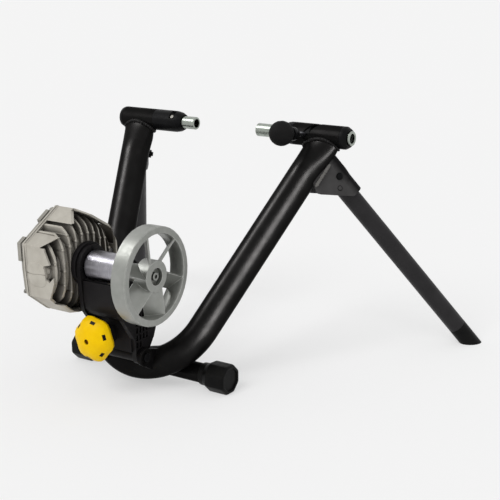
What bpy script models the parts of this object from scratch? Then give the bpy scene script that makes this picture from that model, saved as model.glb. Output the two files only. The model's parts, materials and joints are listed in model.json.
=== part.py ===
"""Fluid bike trainer: a folding stand with clamping axle tips and a fluid resistance unit.

X runs along the wheel's axle to the rider's right, Y points forward along the bicycle, and Z is up.
Heights are above the floor. The resistance unit sits behind the wheel, so its Y values are negative
when they are measured from the axle.
"""

import math

import bmesh
import bpy
from mathutils import Matrix, Vector

# Driving dimensions, in metres
AXLE_Y = 0.0928
AXLE_HEIGHT = 0.385
SEAT_GAP = 0.0003

MAIN_TUBE_RADIUS = 0.0254
MAIN_TUBE_WALL = 0.0018
FRAME_LEAN = math.radians(37.9)
UPRIGHT_HALF_SPAN = 0.1978
UPRIGHT_SPLAY = 0.2649
BEND_RADIUS = 0.104
UPRIGHT_TOP = 0.004

CROSS_RADIUS = 0.019
CROSS_WALL = 0.002
CROSS_OUTER_END = 0.2275
LEFT_SEAM = 0.1586
RIGHT_SEAM = 0.1365

TIP_RADIUS = 0.0112
TIP_BORE = 0.0079
LEFT_TIP_END = -0.0714
RIGHT_TIP_END = 0.0607

LEVER_X = 0.163
LEVER_RISE = math.radians(9)
LEVER_SWEEP = math.radians(76)
CLAMP_STROKE = 0.017
LEVER_LENGTH = 0.0907
BALL_RADIUS = 0.0205

BAR_RADIUS = 0.0162
BAR_WALL = 0.002
BAR_Y = -0.2324
BAR_END = 0.1525
FOOT_RADIUS = 0.0241
FOOT_END = 0.1592
FOOT_FLAT = 0.0005

HINGE = Vector((0.2096, 0.0005, 0.320))
LEG_FLOOR = Vector((0.3814, 0.2032, 0.0))
LEG_RADIUS = 0.0159
LEG_WALL = 0.0015
BOOT_LENGTH = 0.045
PLATE_THICKNESS = 0.0025
LEG_SIDE_GAP = 0.0009

ROTOR_Y = -0.3305
ROTOR_HEIGHT = 0.2082
SHAFT_RADIUS = 0.006
ROLLER_RADIUS = 0.0242
FLYWHEEL_RADIUS = 0.0771
FLYWHEEL_BACK = 0.0670
FLYWHEEL_FRONT = 0.0942
BLADE_COUNT = 6
BLADE_PITCH = math.radians(43)
BLADE_START = math.radians(53)

PIVOT_Y = -0.3099
PIVOT_HEIGHT = 0.0638
ANCHOR_Y = -0.262
KNOB_X = -0.0045
KNOB_HEIGHT = 0.1016
SEAT_CENTRE_Y = -0.335
SEAT_RADIUS = 0.012

CHEEK_LEFT = (-0.0400, -0.0330)
CHEEK_RIGHT = (0.0335, 0.0420)
SHOULDER_CENTRE = (-0.3280, 0.1500)
SHOULDER_RADIUS = 0.0290
BASE_CENTRE = (-0.2990, 0.1050)
BASE_RADIUS = 0.0270

PARTING_X = -0.108
HOUSING_FRONT = -0.048
SKIN_THICKNESS = 0.0035
CHAMBER_RADIUS = 0.050
FIN_COUNT = 10
FIN_PITCH = 0.0138
FIN_THICKNESS = 0.0028

UP = Vector((0, 0, 1))
ALONG_X = Vector((1, 0, 0))
ALONG_Y = Vector((0, 1, 0))


# Scene and materials

def clear_scene():
    for item in list(bpy.data.objects):
        bpy.data.objects.remove(item, do_unlink=True)


def new_collection(name):
    group = bpy.data.collections.new(name)
    bpy.context.scene.collection.children.link(group)
    return group


def new_material(name, colour, roughness, metallic):
    surface = bpy.data.materials.new(name)
    surface.use_nodes = True
    shader = surface.node_tree.nodes["Principled BSDF"]
    shader.inputs["Base Color"].default_value = (*colour, 1)
    shader.inputs["Roughness"].default_value = roughness
    shader.inputs["Metallic"].default_value = metallic
    surface.diffuse_color = (*colour, 1)
    return surface


def from_axle(x, y, z):
    """A world point from X, Y behind or before the axle, and the height above the floor."""
    return Vector((x, AXLE_Y + y, z))


def new_empty(name, location, parent=None):
    empty = bpy.data.objects.new(name, None)
    empty.empty_display_size = 0.02
    empty.location = location
    PARTS.objects.link(empty)
    bpy.context.view_layer.update()
    if parent:
        empty.parent = parent
        empty.matrix_parent_inverse = parent.matrix_world.inverted()
    bpy.context.view_layer.update()
    return empty


# Shape tools

def frame_at(origin, z_axis, x_hint=None):
    """Matrix whose local Z is z_axis and whose local X is as near x_hint as it can be."""
    z_axis = Vector(z_axis).normalized()
    hint = Vector(x_hint) if x_hint else (ALONG_X if abs(z_axis.x) < 0.9 else ALONG_Y)
    x_axis = (hint - z_axis * hint.dot(z_axis)).normalized()
    y_axis = z_axis.cross(x_axis)
    matrix = Matrix((x_axis, y_axis, z_axis)).transposed().to_4x4()
    matrix.translation = origin
    return matrix


def side_frame(x):
    """Matrix for outlines drawn in (Y from the axle, height) and extruded along X."""
    return frame_at(Vector((x, AXLE_Y, 0)), ALONG_X, ALONG_Y)


def link_mesh(bm, matrix):
    mesh = bpy.data.meshes.new("mesh")
    bm.to_mesh(mesh)
    bm.free()
    item = bpy.data.objects.new("shape", mesh)
    item.matrix_world = matrix
    CUTTERS.objects.link(item)
    return item


def bake(item):
    """Replace an object's mesh by the mesh that its modifiers make."""
    bpy.context.view_layer.update()
    graph = bpy.context.evaluated_depsgraph_get()
    mesh = bpy.data.meshes.new_from_object(item.evaluated_get(graph))
    item.modifiers.clear()
    item.data = mesh
    return item


def mesh_from_curve(item):
    bpy.context.view_layer.update()
    graph = bpy.context.evaluated_depsgraph_get()
    mesh = bpy.data.meshes.new_from_object(item.evaluated_get(graph))
    bm = bmesh.new()
    bm.from_mesh(mesh)
    bmesh.ops.remove_doubles(bm, verts=bm.verts, dist=1e-6)
    matrix = item.matrix_world.copy()
    bpy.data.objects.remove(item, do_unlink=True)
    return link_mesh(bm, matrix)


def combine(target, tools, operation="UNION"):
    """Boolean of the target with each tool in turn; the tools are used up."""
    for tool in tools:
        tool.hide_render = True
        tool.display_type = "WIRE"
        modifier = target.modifiers.new(operation.lower(), "BOOLEAN")
        modifier.operation = operation
        modifier.solver = "EXACT"
        modifier.object = tool
    bake(target)
    for tool in tools:
        bpy.data.objects.remove(tool, do_unlink=True)
    return target


def cut(target, *tools):
    return combine(target, tools, "DIFFERENCE")


def join(target, *tools):
    return combine(target, tools, "UNION")


def keep_inside(target, tool):
    return combine(target, [tool], "INTERSECT")


def box(low, high, matrix=None):
    """A box between two corners, in world axes or in the axes of a matrix."""
    low, high = Vector(low), Vector(high)
    bm = bmesh.new()
    bmesh.ops.create_cube(bm, size=1)
    for vertex in bm.verts:
        vertex.co = [low[i] + (high[i] - low[i]) * (vertex.co[i] + 0.5) for i in range(3)]
    return link_mesh(bm, matrix or Matrix())


def rod(start, end, radius, sides=14, end_radius=None):
    start, end = Vector(start), Vector(end)
    bm = bmesh.new()
    bmesh.ops.create_cone(
        bm, cap_ends=True, segments=sides, radius1=radius,
        radius2=radius if end_radius is None else end_radius, depth=(end - start).length)
    return link_mesh(bm, frame_at((start + end) / 2, end - start))


def turned(profile, origin, axis, steps=20, closed=False):
    """A profile of (radius, height) turned round an axis, listed from the top down its outer side."""
    bm = bmesh.new()
    points = [bm.verts.new((radius, 0, height)) for radius, height in profile]
    for first, second in zip(points, points[1:]):
        bm.edges.new((first, second))
    if closed:
        bm.edges.new((points[-1], points[0]))
    item = link_mesh(bm, frame_at(origin, axis))
    screw = item.modifiers.new("turn", "SCREW")
    screw.steps = steps
    screw.render_steps = steps
    screw.use_merge_vertices = True
    screw.merge_threshold = 1e-5
    return bake(item)


def turned_on_axle(profile, steps=22, closed=False):
    return turned(profile, from_axle(0, 0, AXLE_HEIGHT), ALONG_X, steps, closed)


def turned_on_rotor(profile, steps=24, closed=False):
    return turned(profile, from_axle(0, ROTOR_Y, ROTOR_HEIGHT), ALONG_X, steps, closed)


def sleeve(outer, inner, high, low):
    """Closed profile of a plain ring, for the turned functions."""
    return [(outer, high), (outer, low), (inner, low), (inner, high)]


def extruded(outline, matrix, low, high, holes=()):
    """A flat outline, with holes, extruded between two heights of a matrix."""
    curve = bpy.data.curves.new("outline", "CURVE")
    curve.dimensions = "2D"
    curve.fill_mode = "BOTH"
    curve.extrude = (high - low) / 2
    for loop in (outline, *holes):
        spline = curve.splines.new("POLY")
        spline.points.add(len(loop) - 1)
        spline.use_cyclic_u = True
        for point, place in zip(spline.points, loop):
            point.co = (place[0], place[1], 0, 1)
    item = bpy.data.objects.new("outline", curve)
    item.matrix_world = matrix @ Matrix.Translation((0, 0, (low + high) / 2))
    CUTTERS.objects.link(item)
    return mesh_from_curve(item)


def side_plate(outline, x_low, x_high, holes=()):
    return extruded(outline, side_frame(0), x_low, x_high, holes)


def bar_along(points, radius, sides=18, capped=True):
    """A round bar along a polyline."""
    curve = bpy.data.curves.new("path", "CURVE")
    curve.dimensions = "3D"
    curve.bevel_depth = radius
    curve.bevel_resolution = (sides - 4) // 2
    curve.use_fill_caps = capped
    spline = curve.splines.new("POLY")
    spline.points.add(len(points) - 1)
    for point, place in zip(spline.points, points):
        point.co = (*place, 1)
    item = bpy.data.objects.new("path", curve)
    CUTTERS.objects.link(item)
    return mesh_from_curve(item)


def hollow(item, wall):
    """Give an open tube its wall, inwards."""
    solidify = item.modifiers.new("wall", "SOLIDIFY")
    solidify.thickness = wall
    solidify.offset = -1
    return bake(item)


def circle(centre, radius, steps=12, start=0.0, sweep=2 * math.pi):
    count = steps if sweep >= 2 * math.pi - 1e-6 else steps + 1
    return [(centre[0] + radius * math.cos(start + sweep * i / steps),
             centre[1] + radius * math.sin(start + sweep * i / steps)) for i in range(count)]


def belt(first, first_radius, second, second_radius, steps=5):
    """Outline of a belt stretched round two circles."""
    heading = math.atan2(second[1] - first[1], second[0] - first[0])
    distance = math.hypot(second[0] - first[0], second[1] - first[1])
    lean = math.acos((first_radius - second_radius) / distance)
    near = circle(first, first_radius, steps, heading + lean, 2 * math.pi - 2 * lean)
    far = circle(second, second_radius, steps, heading - lean, 2 * lean)
    return near + far


def mirrored(item):
    """A copy of a finished shape on the other side of the YZ plane."""
    bm = bmesh.new()
    bm.from_mesh(item.data)
    flip = Matrix.Scale(-1, 4, ALONG_X)
    bmesh.ops.transform(bm, matrix=flip @ item.matrix_world, verts=bm.verts)
    bmesh.ops.reverse_faces(bm, faces=bm.faces)
    return link_mesh(bm, Matrix())


def finish(item, name, surface, parent):
    """Name a shape, give it its material and smooth shading, and hang it on its parent."""
    item.name = name
    item.data.name = name
    item.data.materials.clear()
    item.data.materials.append(surface)
    item.data.shade_smooth()
    item.data.set_sharp_from_angle(angle=math.radians(35))
    CUTTERS.objects.unlink(item)
    PARTS.objects.link(item)
    item.parent = parent
    item.matrix_parent_inverse = parent.matrix_world.inverted()
    return item


def finish_pair(item, name, surface, right_parent, left_parent):
    """Finish a right-hand shape and its mirror image."""
    left = mirrored(item)
    finish(item, "right_" + name, surface, right_parent)
    finish(left, "left_" + name, surface, left_parent)


# Geometry of the frame

def frame_point(x, down):
    """A point of the leaning plane that holds the main tube's centreline."""
    return from_axle(x, -down * math.sin(FRAME_LEAN), AXLE_HEIGHT - down * math.cos(FRAME_LEAN))


SLANT = math.hypot(1, UPRIGHT_SPLAY)
BEND_CENTRE_DOWN = (UPRIGHT_HALF_SPAN - BEND_RADIUS * SLANT) / UPRIGHT_SPLAY
BEND_HALF_ANGLE = math.atan2(1, UPRIGHT_SPLAY)


def bend_point(angle):
    """A point of the bend's centreline, at an angle from its lowest point towards +X."""
    return frame_point(BEND_RADIUS * math.sin(angle), BEND_CENTRE_DOWN + BEND_RADIUS * math.cos(angle))


def bend_points(low, high, steps):
    return [bend_point(low + (high - low) * i / steps) for i in range(steps + 1)]


def main_tube_path(steps=12):
    top = UPRIGHT_HALF_SPAN - UPRIGHT_SPLAY * UPRIGHT_TOP
    bend = bend_points(-BEND_HALF_ANGLE, BEND_HALF_ANGLE, steps)
    return [frame_point(-top, UPRIGHT_TOP), *bend, frame_point(top, UPRIGHT_TOP)]


def main_tube_cutter(radius):
    return bar_along(main_tube_path(), radius)


def axle_cutter(radius, start, end):
    return rod(from_axle(start, 0, AXLE_HEIGHT), from_axle(end, 0, AXLE_HEIGHT), radius, 24)


def add_main_tube():
    tube = hollow(bar_along(main_tube_path(), MAIN_TUBE_RADIUS, capped=False), MAIN_TUBE_WALL)
    cut(tube, axle_cutter(CROSS_RADIUS + SEAT_GAP, -0.3, -0.1), axle_cutter(CROSS_RADIUS + SEAT_GAP, 0.1, 0.3))
    finish(tube, "main_tube", POWDER_COAT, FRAME)


def lever_angle_point(rise, x, radius):
    return from_axle(x, -radius * math.cos(rise), AXLE_HEIGHT + radius * math.sin(rise))


def slot_path(steps=10, overrun=math.radians(18)):
    """The helix that the lever's rod follows, a little longer at both ends."""
    pitch = CLAMP_STROKE / LEVER_SWEEP
    points = []
    for i in range(steps + 1):
        turn = -overrun + (LEVER_SWEEP + 2 * overrun) * i / steps
        points.append(lever_angle_point(LEVER_RISE + turn, LEVER_X + pitch * turn, CROSS_RADIUS))
    return points


def add_cross_tubes():
    inner = CROSS_RADIUS - CROSS_WALL
    right = turned_on_axle(sleeve(CROSS_RADIUS, inner, CROSS_OUTER_END, RIGHT_SEAM), closed=True)
    cut(right, bar_along(slot_path(), 0.0052, 12))
    finish(right, "right_cross_tube", POWDER_COAT, FRAME)
    left = turned_on_axle(sleeve(CROSS_RADIUS, inner, -LEFT_SEAM, -CROSS_OUTER_END), closed=True)
    finish(left, "left_cross_tube", POWDER_COAT, FRAME)


def add_noses():
    bore = TIP_RADIUS + 0.0005
    spigot = CROSS_RADIUS - CROSS_WALL - SEAT_GAP
    right = turned_on_axle([
        (spigot, 0.150), (spigot, RIGHT_SEAM - SEAT_GAP), (CROSS_RADIUS, RIGHT_SEAM - SEAT_GAP),
        (CROSS_RADIUS, 0.128), (0.0178, 0.1225), (0.0150, 0.1180), (bore, 0.1180), (bore, 0.150)], closed=True)
    finish(right, "right_nose", BLACK_PLASTIC, FRAME)
    left = turned_on_axle([
        (bore, -0.0980), (0.0138, -0.0980), (0.0172, -0.1045), (0.0188, -0.1130), (CROSS_RADIUS, -0.1220),
        (CROSS_RADIUS, SEAT_GAP - LEFT_SEAM), (spigot, SEAT_GAP - LEFT_SEAM), (spigot, -0.185), (bore, -0.185)],
        closed=True)
    window = [lever_angle_point(math.radians(a), -0.1165, CROSS_RADIUS) for a in (25, 40, 55, 70, 85)]
    screw_rise = math.radians(38)
    hole = rod(lever_angle_point(screw_rise, -0.1165, 0.0100), lever_angle_point(screw_rise, -0.1165, 0.0250), 0.0035)
    cut(left, bar_along(window, 0.0050, 12), hole)
    finish(left, "left_nose", BLACK_PLASTIC, FRAME)
    screw = rod(lever_angle_point(screw_rise, -0.1165, TIP_RADIUS + SEAT_GAP),
                lever_angle_point(screw_rise, -0.1165, CROSS_RADIUS - 0.002), 0.0032, 16)
    finish(screw, "left_lock_screw", ZINC, FRAME)


def tip_profile(high, low):
    """A plated tube with small chamfers at both ends."""
    edge = 0.0008
    return [(TIP_RADIUS - edge, high), (TIP_RADIUS, high - edge), (TIP_RADIUS, low + edge),
            (TIP_RADIUS - edge, low), (TIP_BORE, low), (TIP_BORE, high)]


def add_tips():
    left = turned_on_axle(tip_profile(LEFT_TIP_END, -0.155), closed=True)
    finish(left, "left_tip", ZINC, LEFT_TIP_SLIDE)
    right = turned_on_axle(tip_profile(0.2385, RIGHT_TIP_END), closed=True)
    finish(right, "right_tip_tube", ZINC, CLAMP_SLIDE)


def add_lever():
    collar_radius = CROSS_RADIUS - CROSS_WALL - 0.0004
    collar = turned_on_axle(sleeve(collar_radius, TIP_RADIUS + 0.0004, LEVER_X + 0.007, LEVER_X - 0.007), closed=True)
    finish(collar, "lever_collar", ZINC, LEVER_TURN)
    direction = Vector((0, -math.cos(LEVER_RISE), math.sin(LEVER_RISE)))
    centre = from_axle(LEVER_X, 0, AXLE_HEIGHT)
    rod_radius = 0.0043
    bar = rod(centre + direction * (collar_radius + SEAT_GAP), centre + direction * 0.060, rod_radius, 6)
    finish(bar, "lever_rod", DARK_STEEL, LEVER_TURN)
    neck_radius = 0.0088
    neck_end = 0.0455
    meet = math.asin(neck_radius / BALL_RADIUS)
    sphere = [(BALL_RADIUS * math.sin((math.pi - meet) * i / 10),
               LEVER_LENGTH + BALL_RADIUS * math.cos((math.pi - meet) * i / 10)) for i in range(11)]
    profile = [*sphere, (neck_radius, neck_end + 0.001), (neck_radius - 0.001, neck_end),
               (rod_radius + 0.0003, neck_end), (rod_radius + 0.0003, 0.0605), (0, 0.0605)]
    ball = turned(profile, centre, direction, 20)
    finish(ball, "lever_ball", BLACK_PLASTIC, LEVER_TURN)


def add_end_caps():
    spigot = CROSS_RADIUS - CROSS_WALL - SEAT_GAP
    seat = CROSS_OUTER_END + SEAT_GAP
    bore = TIP_RADIUS + 0.0005
    right = turned_on_axle([
        (bore, 0.2395), (0.0152, 0.2395), (0.0180, 0.2350), (CROSS_RADIUS, 0.2330), (CROSS_RADIUS, seat),
        (spigot, seat), (spigot, 0.208), (bore, 0.208)], closed=True)
    finish(right, "right_end_cap", BLACK_PLASTIC, FRAME)
    left = turned_on_axle([
        (0, -0.210), (spigot, -0.210), (spigot, -seat), (CROSS_RADIUS, -seat), (CROSS_RADIUS, -0.2310),
        (0.0175, -0.2350), (0.0130, -0.2378), (0, -0.2390)])
    finish(left, "left_end_plug", BLACK_PLASTIC, FRAME)


def floor_cutter():
    return box((-0.6, -0.6, -0.1), (0.6, 0.6, 0))


def add_crossbar():
    height = FOOT_RADIUS - FOOT_FLAT
    origin = from_axle(0, BAR_Y, height)
    bar = turned(sleeve(BAR_RADIUS, BAR_RADIUS - BAR_WALL, BAR_END, -BAR_END), origin, ALONG_X, closed=True)
    cut(bar, main_tube_cutter(MAIN_TUBE_RADIUS + SEAT_GAP))
    finish(bar, "crossbar_tube", POWDER_COAT, FRAME)
    bore = BAR_RADIUS + SEAT_GAP
    foot = turned([
        (0, FOOT_END), (0.0205, FOOT_END), (0.0232, FOOT_END - 0.0012), (FOOT_RADIUS, FOOT_END - 0.0045),
        (FOOT_RADIUS, 0.1310), (0.0236, 0.1280), (0.0182, 0.1064), (bore, 0.1064), (bore, BAR_END + SEAT_GAP),
        (0, BAR_END + SEAT_GAP)], origin, ALONG_X)
    cut(foot, floor_cutter())
    finish_pair(foot, "bar_foot", RUBBER, FRAME, FRAME)


# Folding legs

def hinge_point():
    return Vector((HINGE.x, AXLE_Y + HINGE.y, HINGE.z))


def leg_axes():
    """Unit vectors of the right leg's hinge: down the upright, away from it, and along the bolt."""
    start, end = frame_point(UPRIGHT_HALF_SPAN, 0), frame_point(UPRIGHT_HALF_SPAN - UPRIGHT_SPLAY, 1)
    down = (end - start).normalized()
    leg = leg_direction()
    bolt = down.cross(leg).normalized()
    return down, bolt.cross(down), bolt


def leg_floor():
    return Vector((LEG_FLOOR.x, AXLE_Y + LEG_FLOOR.y, LEG_FLOOR.z))


def leg_direction():
    return (leg_floor() - hinge_point()).normalized()


def leg_length():
    return (leg_floor() - hinge_point()).length


def bolt_rod(radius, low, high, sides=12):
    """A rod on the right hinge's bolt line, between two distances from the hinge."""
    bolt = leg_axes()[2]
    return rod(hinge_point() + bolt * low, hinge_point() + bolt * high, radius, sides)


def add_legs():
    hinge, direction = hinge_point(), leg_direction()
    bolt = leg_axes()[2]
    length = leg_length()
    joint_line = length - BOOT_LENGTH
    tube = bar_along([hinge - direction * LEG_RADIUS, hinge + direction * joint_line], LEG_RADIUS, 20, False)
    hollow(tube, LEG_WALL)
    across = frame_at(hinge, bolt, direction)
    rounded = extruded([(0.6, -0.02), (0.6, 0.02), (0, 0.02), *circle((0, 0), LEG_RADIUS, 10, math.pi / 2, math.pi),
                        (0, -0.02)], across, -0.03, 0.03)
    keep_inside(tube, rounded)
    cut(tube, bolt_rod(0.0060, -0.03, 0.03))
    finish_pair(tube, "leg_tube", POWDER_COAT, RIGHT_LEG_HINGE, LEFT_LEG_HINGE)
    spigot = LEG_RADIUS - LEG_WALL - SEAT_GAP
    top = -(joint_line + SEAT_GAP)
    boot = turned([
        (0.006, 0.030 + top), (spigot, 0.030 + top), (spigot, top), (LEG_RADIUS, top), (LEG_RADIUS, -(length + 0.05)),
        (0.006, -(length + 0.05))], hinge, -direction, 20, closed=True)
    cut(boot, floor_cutter())
    finish_pair(boot, "leg_boot", RUBBER, RIGHT_LEG_HINGE, LEFT_LEG_HINGE)
    half = LEG_RADIUS + LEG_SIDE_GAP - SEAT_GAP
    bush = turned(sleeve(0.0056, 0.0043, half, -half), hinge, bolt, 12, closed=True)
    finish_pair(bush, "leg_bush", ZINC, RIGHT_LEG_HINGE, LEFT_LEG_HINGE)


def add_leg_brackets():
    down, away, bolt = leg_axes()
    plane = frame_at(hinge_point(), bolt, down)
    direction = leg_direction()
    lean_down, lean_away = direction.dot(down), direction.dot(away)

    def beside(along, offset):
        """A point beside the open leg, in the hinge plane: along the leg, and towards the upright's foot."""
        return (along * lean_down + offset * lean_away, along * lean_away - offset * lean_down)

    outer = -(LEG_RADIUS + 0.0006 + PLATE_THICKNESS)
    web_line = -(LEG_RADIUS + 0.0006)
    inner_half = LEG_RADIUS + LEG_SIDE_GAP
    outer_half = inner_half + PLATE_THICKNESS
    outline = [(-0.0300, -0.0400), beside(-0.0300, outer), beside(0.0420, outer), beside(0.0455, outer + 0.004),
               (0.0107, 0.0418), (0.0265, 0.0170), (0.0430, -0.0095), (0.0452, -0.0145), (0.0452, -0.0190),
               (0.0420, -0.0240), (0.0330, -0.0400)]
    bracket = extruded(outline, plane, -outer_half, outer_half)
    pocket = extruded([beside(-0.08, web_line), beside(0.08, web_line), (0.10, 0.08), (0.10, -0.08)],
                      plane, -inner_half, inner_half)
    cut(bracket, pocket, main_tube_cutter(MAIN_TUBE_RADIUS + SEAT_GAP), bolt_rod(0.0042, -0.03, 0.03))
    rivet_place = plane @ Vector((0.0150, 0.0125, 0))
    cut(bracket, rod(rivet_place + bolt * 0.0100, rivet_place + bolt * 0.03, 0.0024, 12))
    finish_pair(bracket, "leg_bracket", PRESSED_STEEL, FRAME, FRAME)
    add_leg_bolts(bolt, outer_half, rivet_place)


def add_leg_bolts(bolt, outer_half, rivet_place):
    hinge = hinge_point()
    seat = outer_half + SEAT_GAP
    nut_seat = -seat
    screw = turned([
        (0, seat + 0.0042), (0.0035, seat + 0.0040), (0.0055, seat + 0.0026), (0.0064, seat), (0.0040, seat),
        (0.0040, nut_seat - 0.0095), (0, nut_seat - 0.0095)], hinge, bolt, 12)
    finish_pair(screw, "leg_bolt", BLACK_SCREW, FRAME, FRAME)
    nut = rod(hinge + bolt * nut_seat, hinge + bolt * (nut_seat - 0.0065), 0.0072, 6)
    cut(nut, bolt_rod(0.0043, -0.04, 0.0))
    finish_pair(nut, "leg_nut", BLACK_SCREW, FRAME, FRAME)
    rivet = turned([
        (0, seat + 0.0014), (0.0026, seat + 0.0011), (0.0038, seat), (0.0021, seat),
        (0.0021, outer_half - PLATE_THICKNESS), (0, outer_half - PLATE_THICKNESS)], rivet_place, bolt, 10)
    finish_pair(rivet, "leg_rivet", BLACK_SCREW, FRAME, FRAME)


# Saddle, ears and anchor of the resistance unit

EAR_RIGHT = (0.0430, 0.0485)
EAR_LEFT = (-0.0495, -0.0440)


def pivot_rod(radius, low, high, sides=12):
    return rod(from_axle(low, PIVOT_Y, PIVOT_HEIGHT), from_axle(high, PIVOT_Y, PIVOT_HEIGHT), radius, sides)


def anchor_rod(radius, low, high, sides=12):
    return rod(from_axle(KNOB_X + low, ANCHOR_Y, KNOB_HEIGHT), from_axle(KNOB_X + high, ANCHOR_Y, KNOB_HEIGHT),
               radius, sides)


def add_frame_lug():
    saddle = bar_along(bend_points(math.radians(-29), math.radians(28), 5), MAIN_TUBE_RADIUS + 0.0045)
    centre = (-0.2705, 0.0390)
    wedge = side_plate([centre, *circle(centre, 0.060, 4, math.radians(75), math.radians(108))],
                       EAR_LEFT[0] + 0.0005, EAR_RIGHT[1] - 0.0005)
    keep_inside(saddle, wedge)
    ear = belt((PIVOT_Y, PIVOT_HEIGHT), 0.014, (-0.2720, 0.0470), 0.019)
    cheek = belt((ANCHOR_Y, KNOB_HEIGHT), 0.009, (-0.2690, 0.0500), 0.014)
    join(saddle, side_plate(ear, *EAR_RIGHT), side_plate(ear, *EAR_LEFT),
         side_plate(cheek, KNOB_X - 0.0100, KNOB_X - 0.0055), side_plate(cheek, KNOB_X + 0.0055, KNOB_X + 0.0100))
    cut(saddle, main_tube_cutter(MAIN_TUBE_RADIUS + SEAT_GAP), pivot_rod(0.0042, -0.06, 0.06),
        anchor_rod(0.0032, -0.02, 0.02))
    finish(saddle, "frame_lug", POWDER_COAT, FRAME)
    pin = anchor_rod(0.0030, -0.0115, 0.0115)
    finish(pin, "anchor_pin", ZINC, FRAME)
    add_pivot_bolt()


def add_pivot_bolt():
    right, left = EAR_RIGHT[1] + SEAT_GAP, EAR_LEFT[0] - SEAT_GAP
    origin = from_axle(0, PIVOT_Y, PIVOT_HEIGHT)
    screw = turned([
        (0, right + 0.0050), (0.0062, right + 0.0050), (0.0070, right + 0.0042), (0.0070, right), (0.0040, right),
        (0.0040, left - 0.0090), (0, left - 0.0090)], origin, ALONG_X, 14)
    finish(screw, "pivot_bolt", ZINC, FRAME)
    nut = rod(from_axle(left, PIVOT_Y, PIVOT_HEIGHT), from_axle(left - 0.0065, PIVOT_Y, PIVOT_HEIGHT), 0.0072, 6)
    cut(nut, pivot_rod(0.0043, -0.07, 0.0))
    finish(nut, "pivot_nut", ZINC, FRAME)


# Resistance unit

def rotor_rod(radius, low, high, sides=16):
    return rod(from_axle(low, ROTOR_Y, ROTOR_HEIGHT), from_axle(high, ROTOR_Y, ROTOR_HEIGHT), radius, sides)


def around_rotor(angle, radius, x):
    """A point round the rotor's axis; the angle runs from +Z towards +Y."""
    return from_axle(x, ROTOR_Y + radius * math.sin(angle), ROTOR_HEIGHT + radius * math.cos(angle))


FLANGE_RADIUS = 0.032
BEARING_RADIUS = 0.014
FLANGE_SCREW_CIRCLE = 0.0272


# Cross-section of the wall between the cheeks, in (Y from the axle, height)
WALL_PROFILE = [
    (-0.3560, 0.188), (-0.3560, 0.156), (-0.3540, 0.1425), (-0.3475, 0.1335), (-0.3270, 0.1225), (-0.3270, 0.074),
    (-0.3200, 0.074), (-0.3200, 0.126), (-0.3400, 0.139), (-0.3470, 0.147), (-0.3495, 0.157), (-0.3495, 0.188)]
# Height of each row of pockets, and how many columns it has
POCKET_ROWS = [(0.0849, 2), (0.0968, 4), (0.1087, 5), (0.1206, 5), (0.1325, 4), (0.1444, 3)]
POCKET_FIRST_Y = -0.3192
POCKET_PITCH = 0.0078
POCKET_HALF = (0.0025, 0.0047)
POCKET_DEPTH = 0.0030


def yoke_cheek(top_radius, x_low, x_high):
    """One side of the yoke: belts from the rotor's boss to the shoulder, the base and the pivot."""
    upper = side_plate(belt((ROTOR_Y, ROTOR_HEIGHT), top_radius, SHOULDER_CENTRE, SHOULDER_RADIUS, 8), x_low, x_high)
    middle = side_plate(belt(SHOULDER_CENTRE, SHOULDER_RADIUS - 0.0005, BASE_CENTRE, BASE_RADIUS), x_low, x_high)
    lower = side_plate(belt(BASE_CENTRE, BASE_RADIUS - 0.0005, (PIVOT_Y, PIVOT_HEIGHT), 0.0125), x_low, x_high)
    return join(upper, middle, lower)


def pocket_grid():
    """Cutters for the upright pockets on the yoke's right side."""
    cutters = []
    for height, columns in POCKET_ROWS:
        for column in range(columns):
            y = POCKET_FIRST_Y + column * POCKET_PITCH
            low = from_axle(CHEEK_RIGHT[1] - POCKET_DEPTH, y - POCKET_HALF[0], height - POCKET_HALF[1])
            high = from_axle(CHEEK_RIGHT[1] + 0.01, y + POCKET_HALF[0], height + POCKET_HALF[1])
            cutters.append(box(low, high))
    return cutters


def add_yoke():
    yoke = yoke_cheek(FLANGE_RADIUS, *CHEEK_LEFT)
    right = yoke_cheek(0.020, *CHEEK_RIGHT)
    wall = side_plate(WALL_PROFILE, CHEEK_LEFT[1] - 0.002, CHEEK_RIGHT[0] + 0.002)
    barrel = pivot_rod(0.0100, CHEEK_LEFT[1] - 0.002, CHEEK_RIGHT[0] + 0.002, 14)
    seat = rod(from_axle(KNOB_X - 0.012, SEAT_CENTRE_Y, KNOB_HEIGHT),
               from_axle(KNOB_X + 0.012, SEAT_CENTRE_Y, KNOB_HEIGHT), SEAT_RADIUS)
    join(yoke, right, wall, barrel, seat)
    slot = box(from_axle(KNOB_X - 0.0050, -0.36, KNOB_HEIGHT - 0.007),
               from_axle(KNOB_X + 0.0050, -0.30, KNOB_HEIGHT + 0.009))
    left_bore = rotor_rod(BEARING_RADIUS + SEAT_GAP, CHEEK_LEFT[0] - 0.01, CHEEK_LEFT[1] - 0.0015)
    left_bore_small = rotor_rod(0.0090, CHEEK_LEFT[1] - 0.003, CHEEK_LEFT[1] + 0.01)
    right_bore = rotor_rod(BEARING_RADIUS + SEAT_GAP, CHEEK_RIGHT[0] + 0.0010, CHEEK_RIGHT[1] + 0.01)
    right_bore_small = rotor_rod(0.0090, CHEEK_RIGHT[0] - 0.01, CHEEK_RIGHT[0] + 0.003)
    screw_holes = [rod(around_rotor(math.pi / 2 * i, FLANGE_SCREW_CIRCLE, CHEEK_LEFT[0] - 0.01),
                       around_rotor(math.pi / 2 * i, FLANGE_SCREW_CIRCLE, CHEEK_LEFT[1] + 0.01), 0.0023, 8)
                   for i in range(4)]
    cut(yoke, slot, left_bore, left_bore_small, right_bore, right_bore_small, pivot_rod(0.0043, -0.06, 0.06),
        *screw_holes, *pocket_grid())
    finish(yoke, "yoke", CASTING_BLACK, UNIT_TILT)
    add_flange_screws()
    add_bearings()


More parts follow.
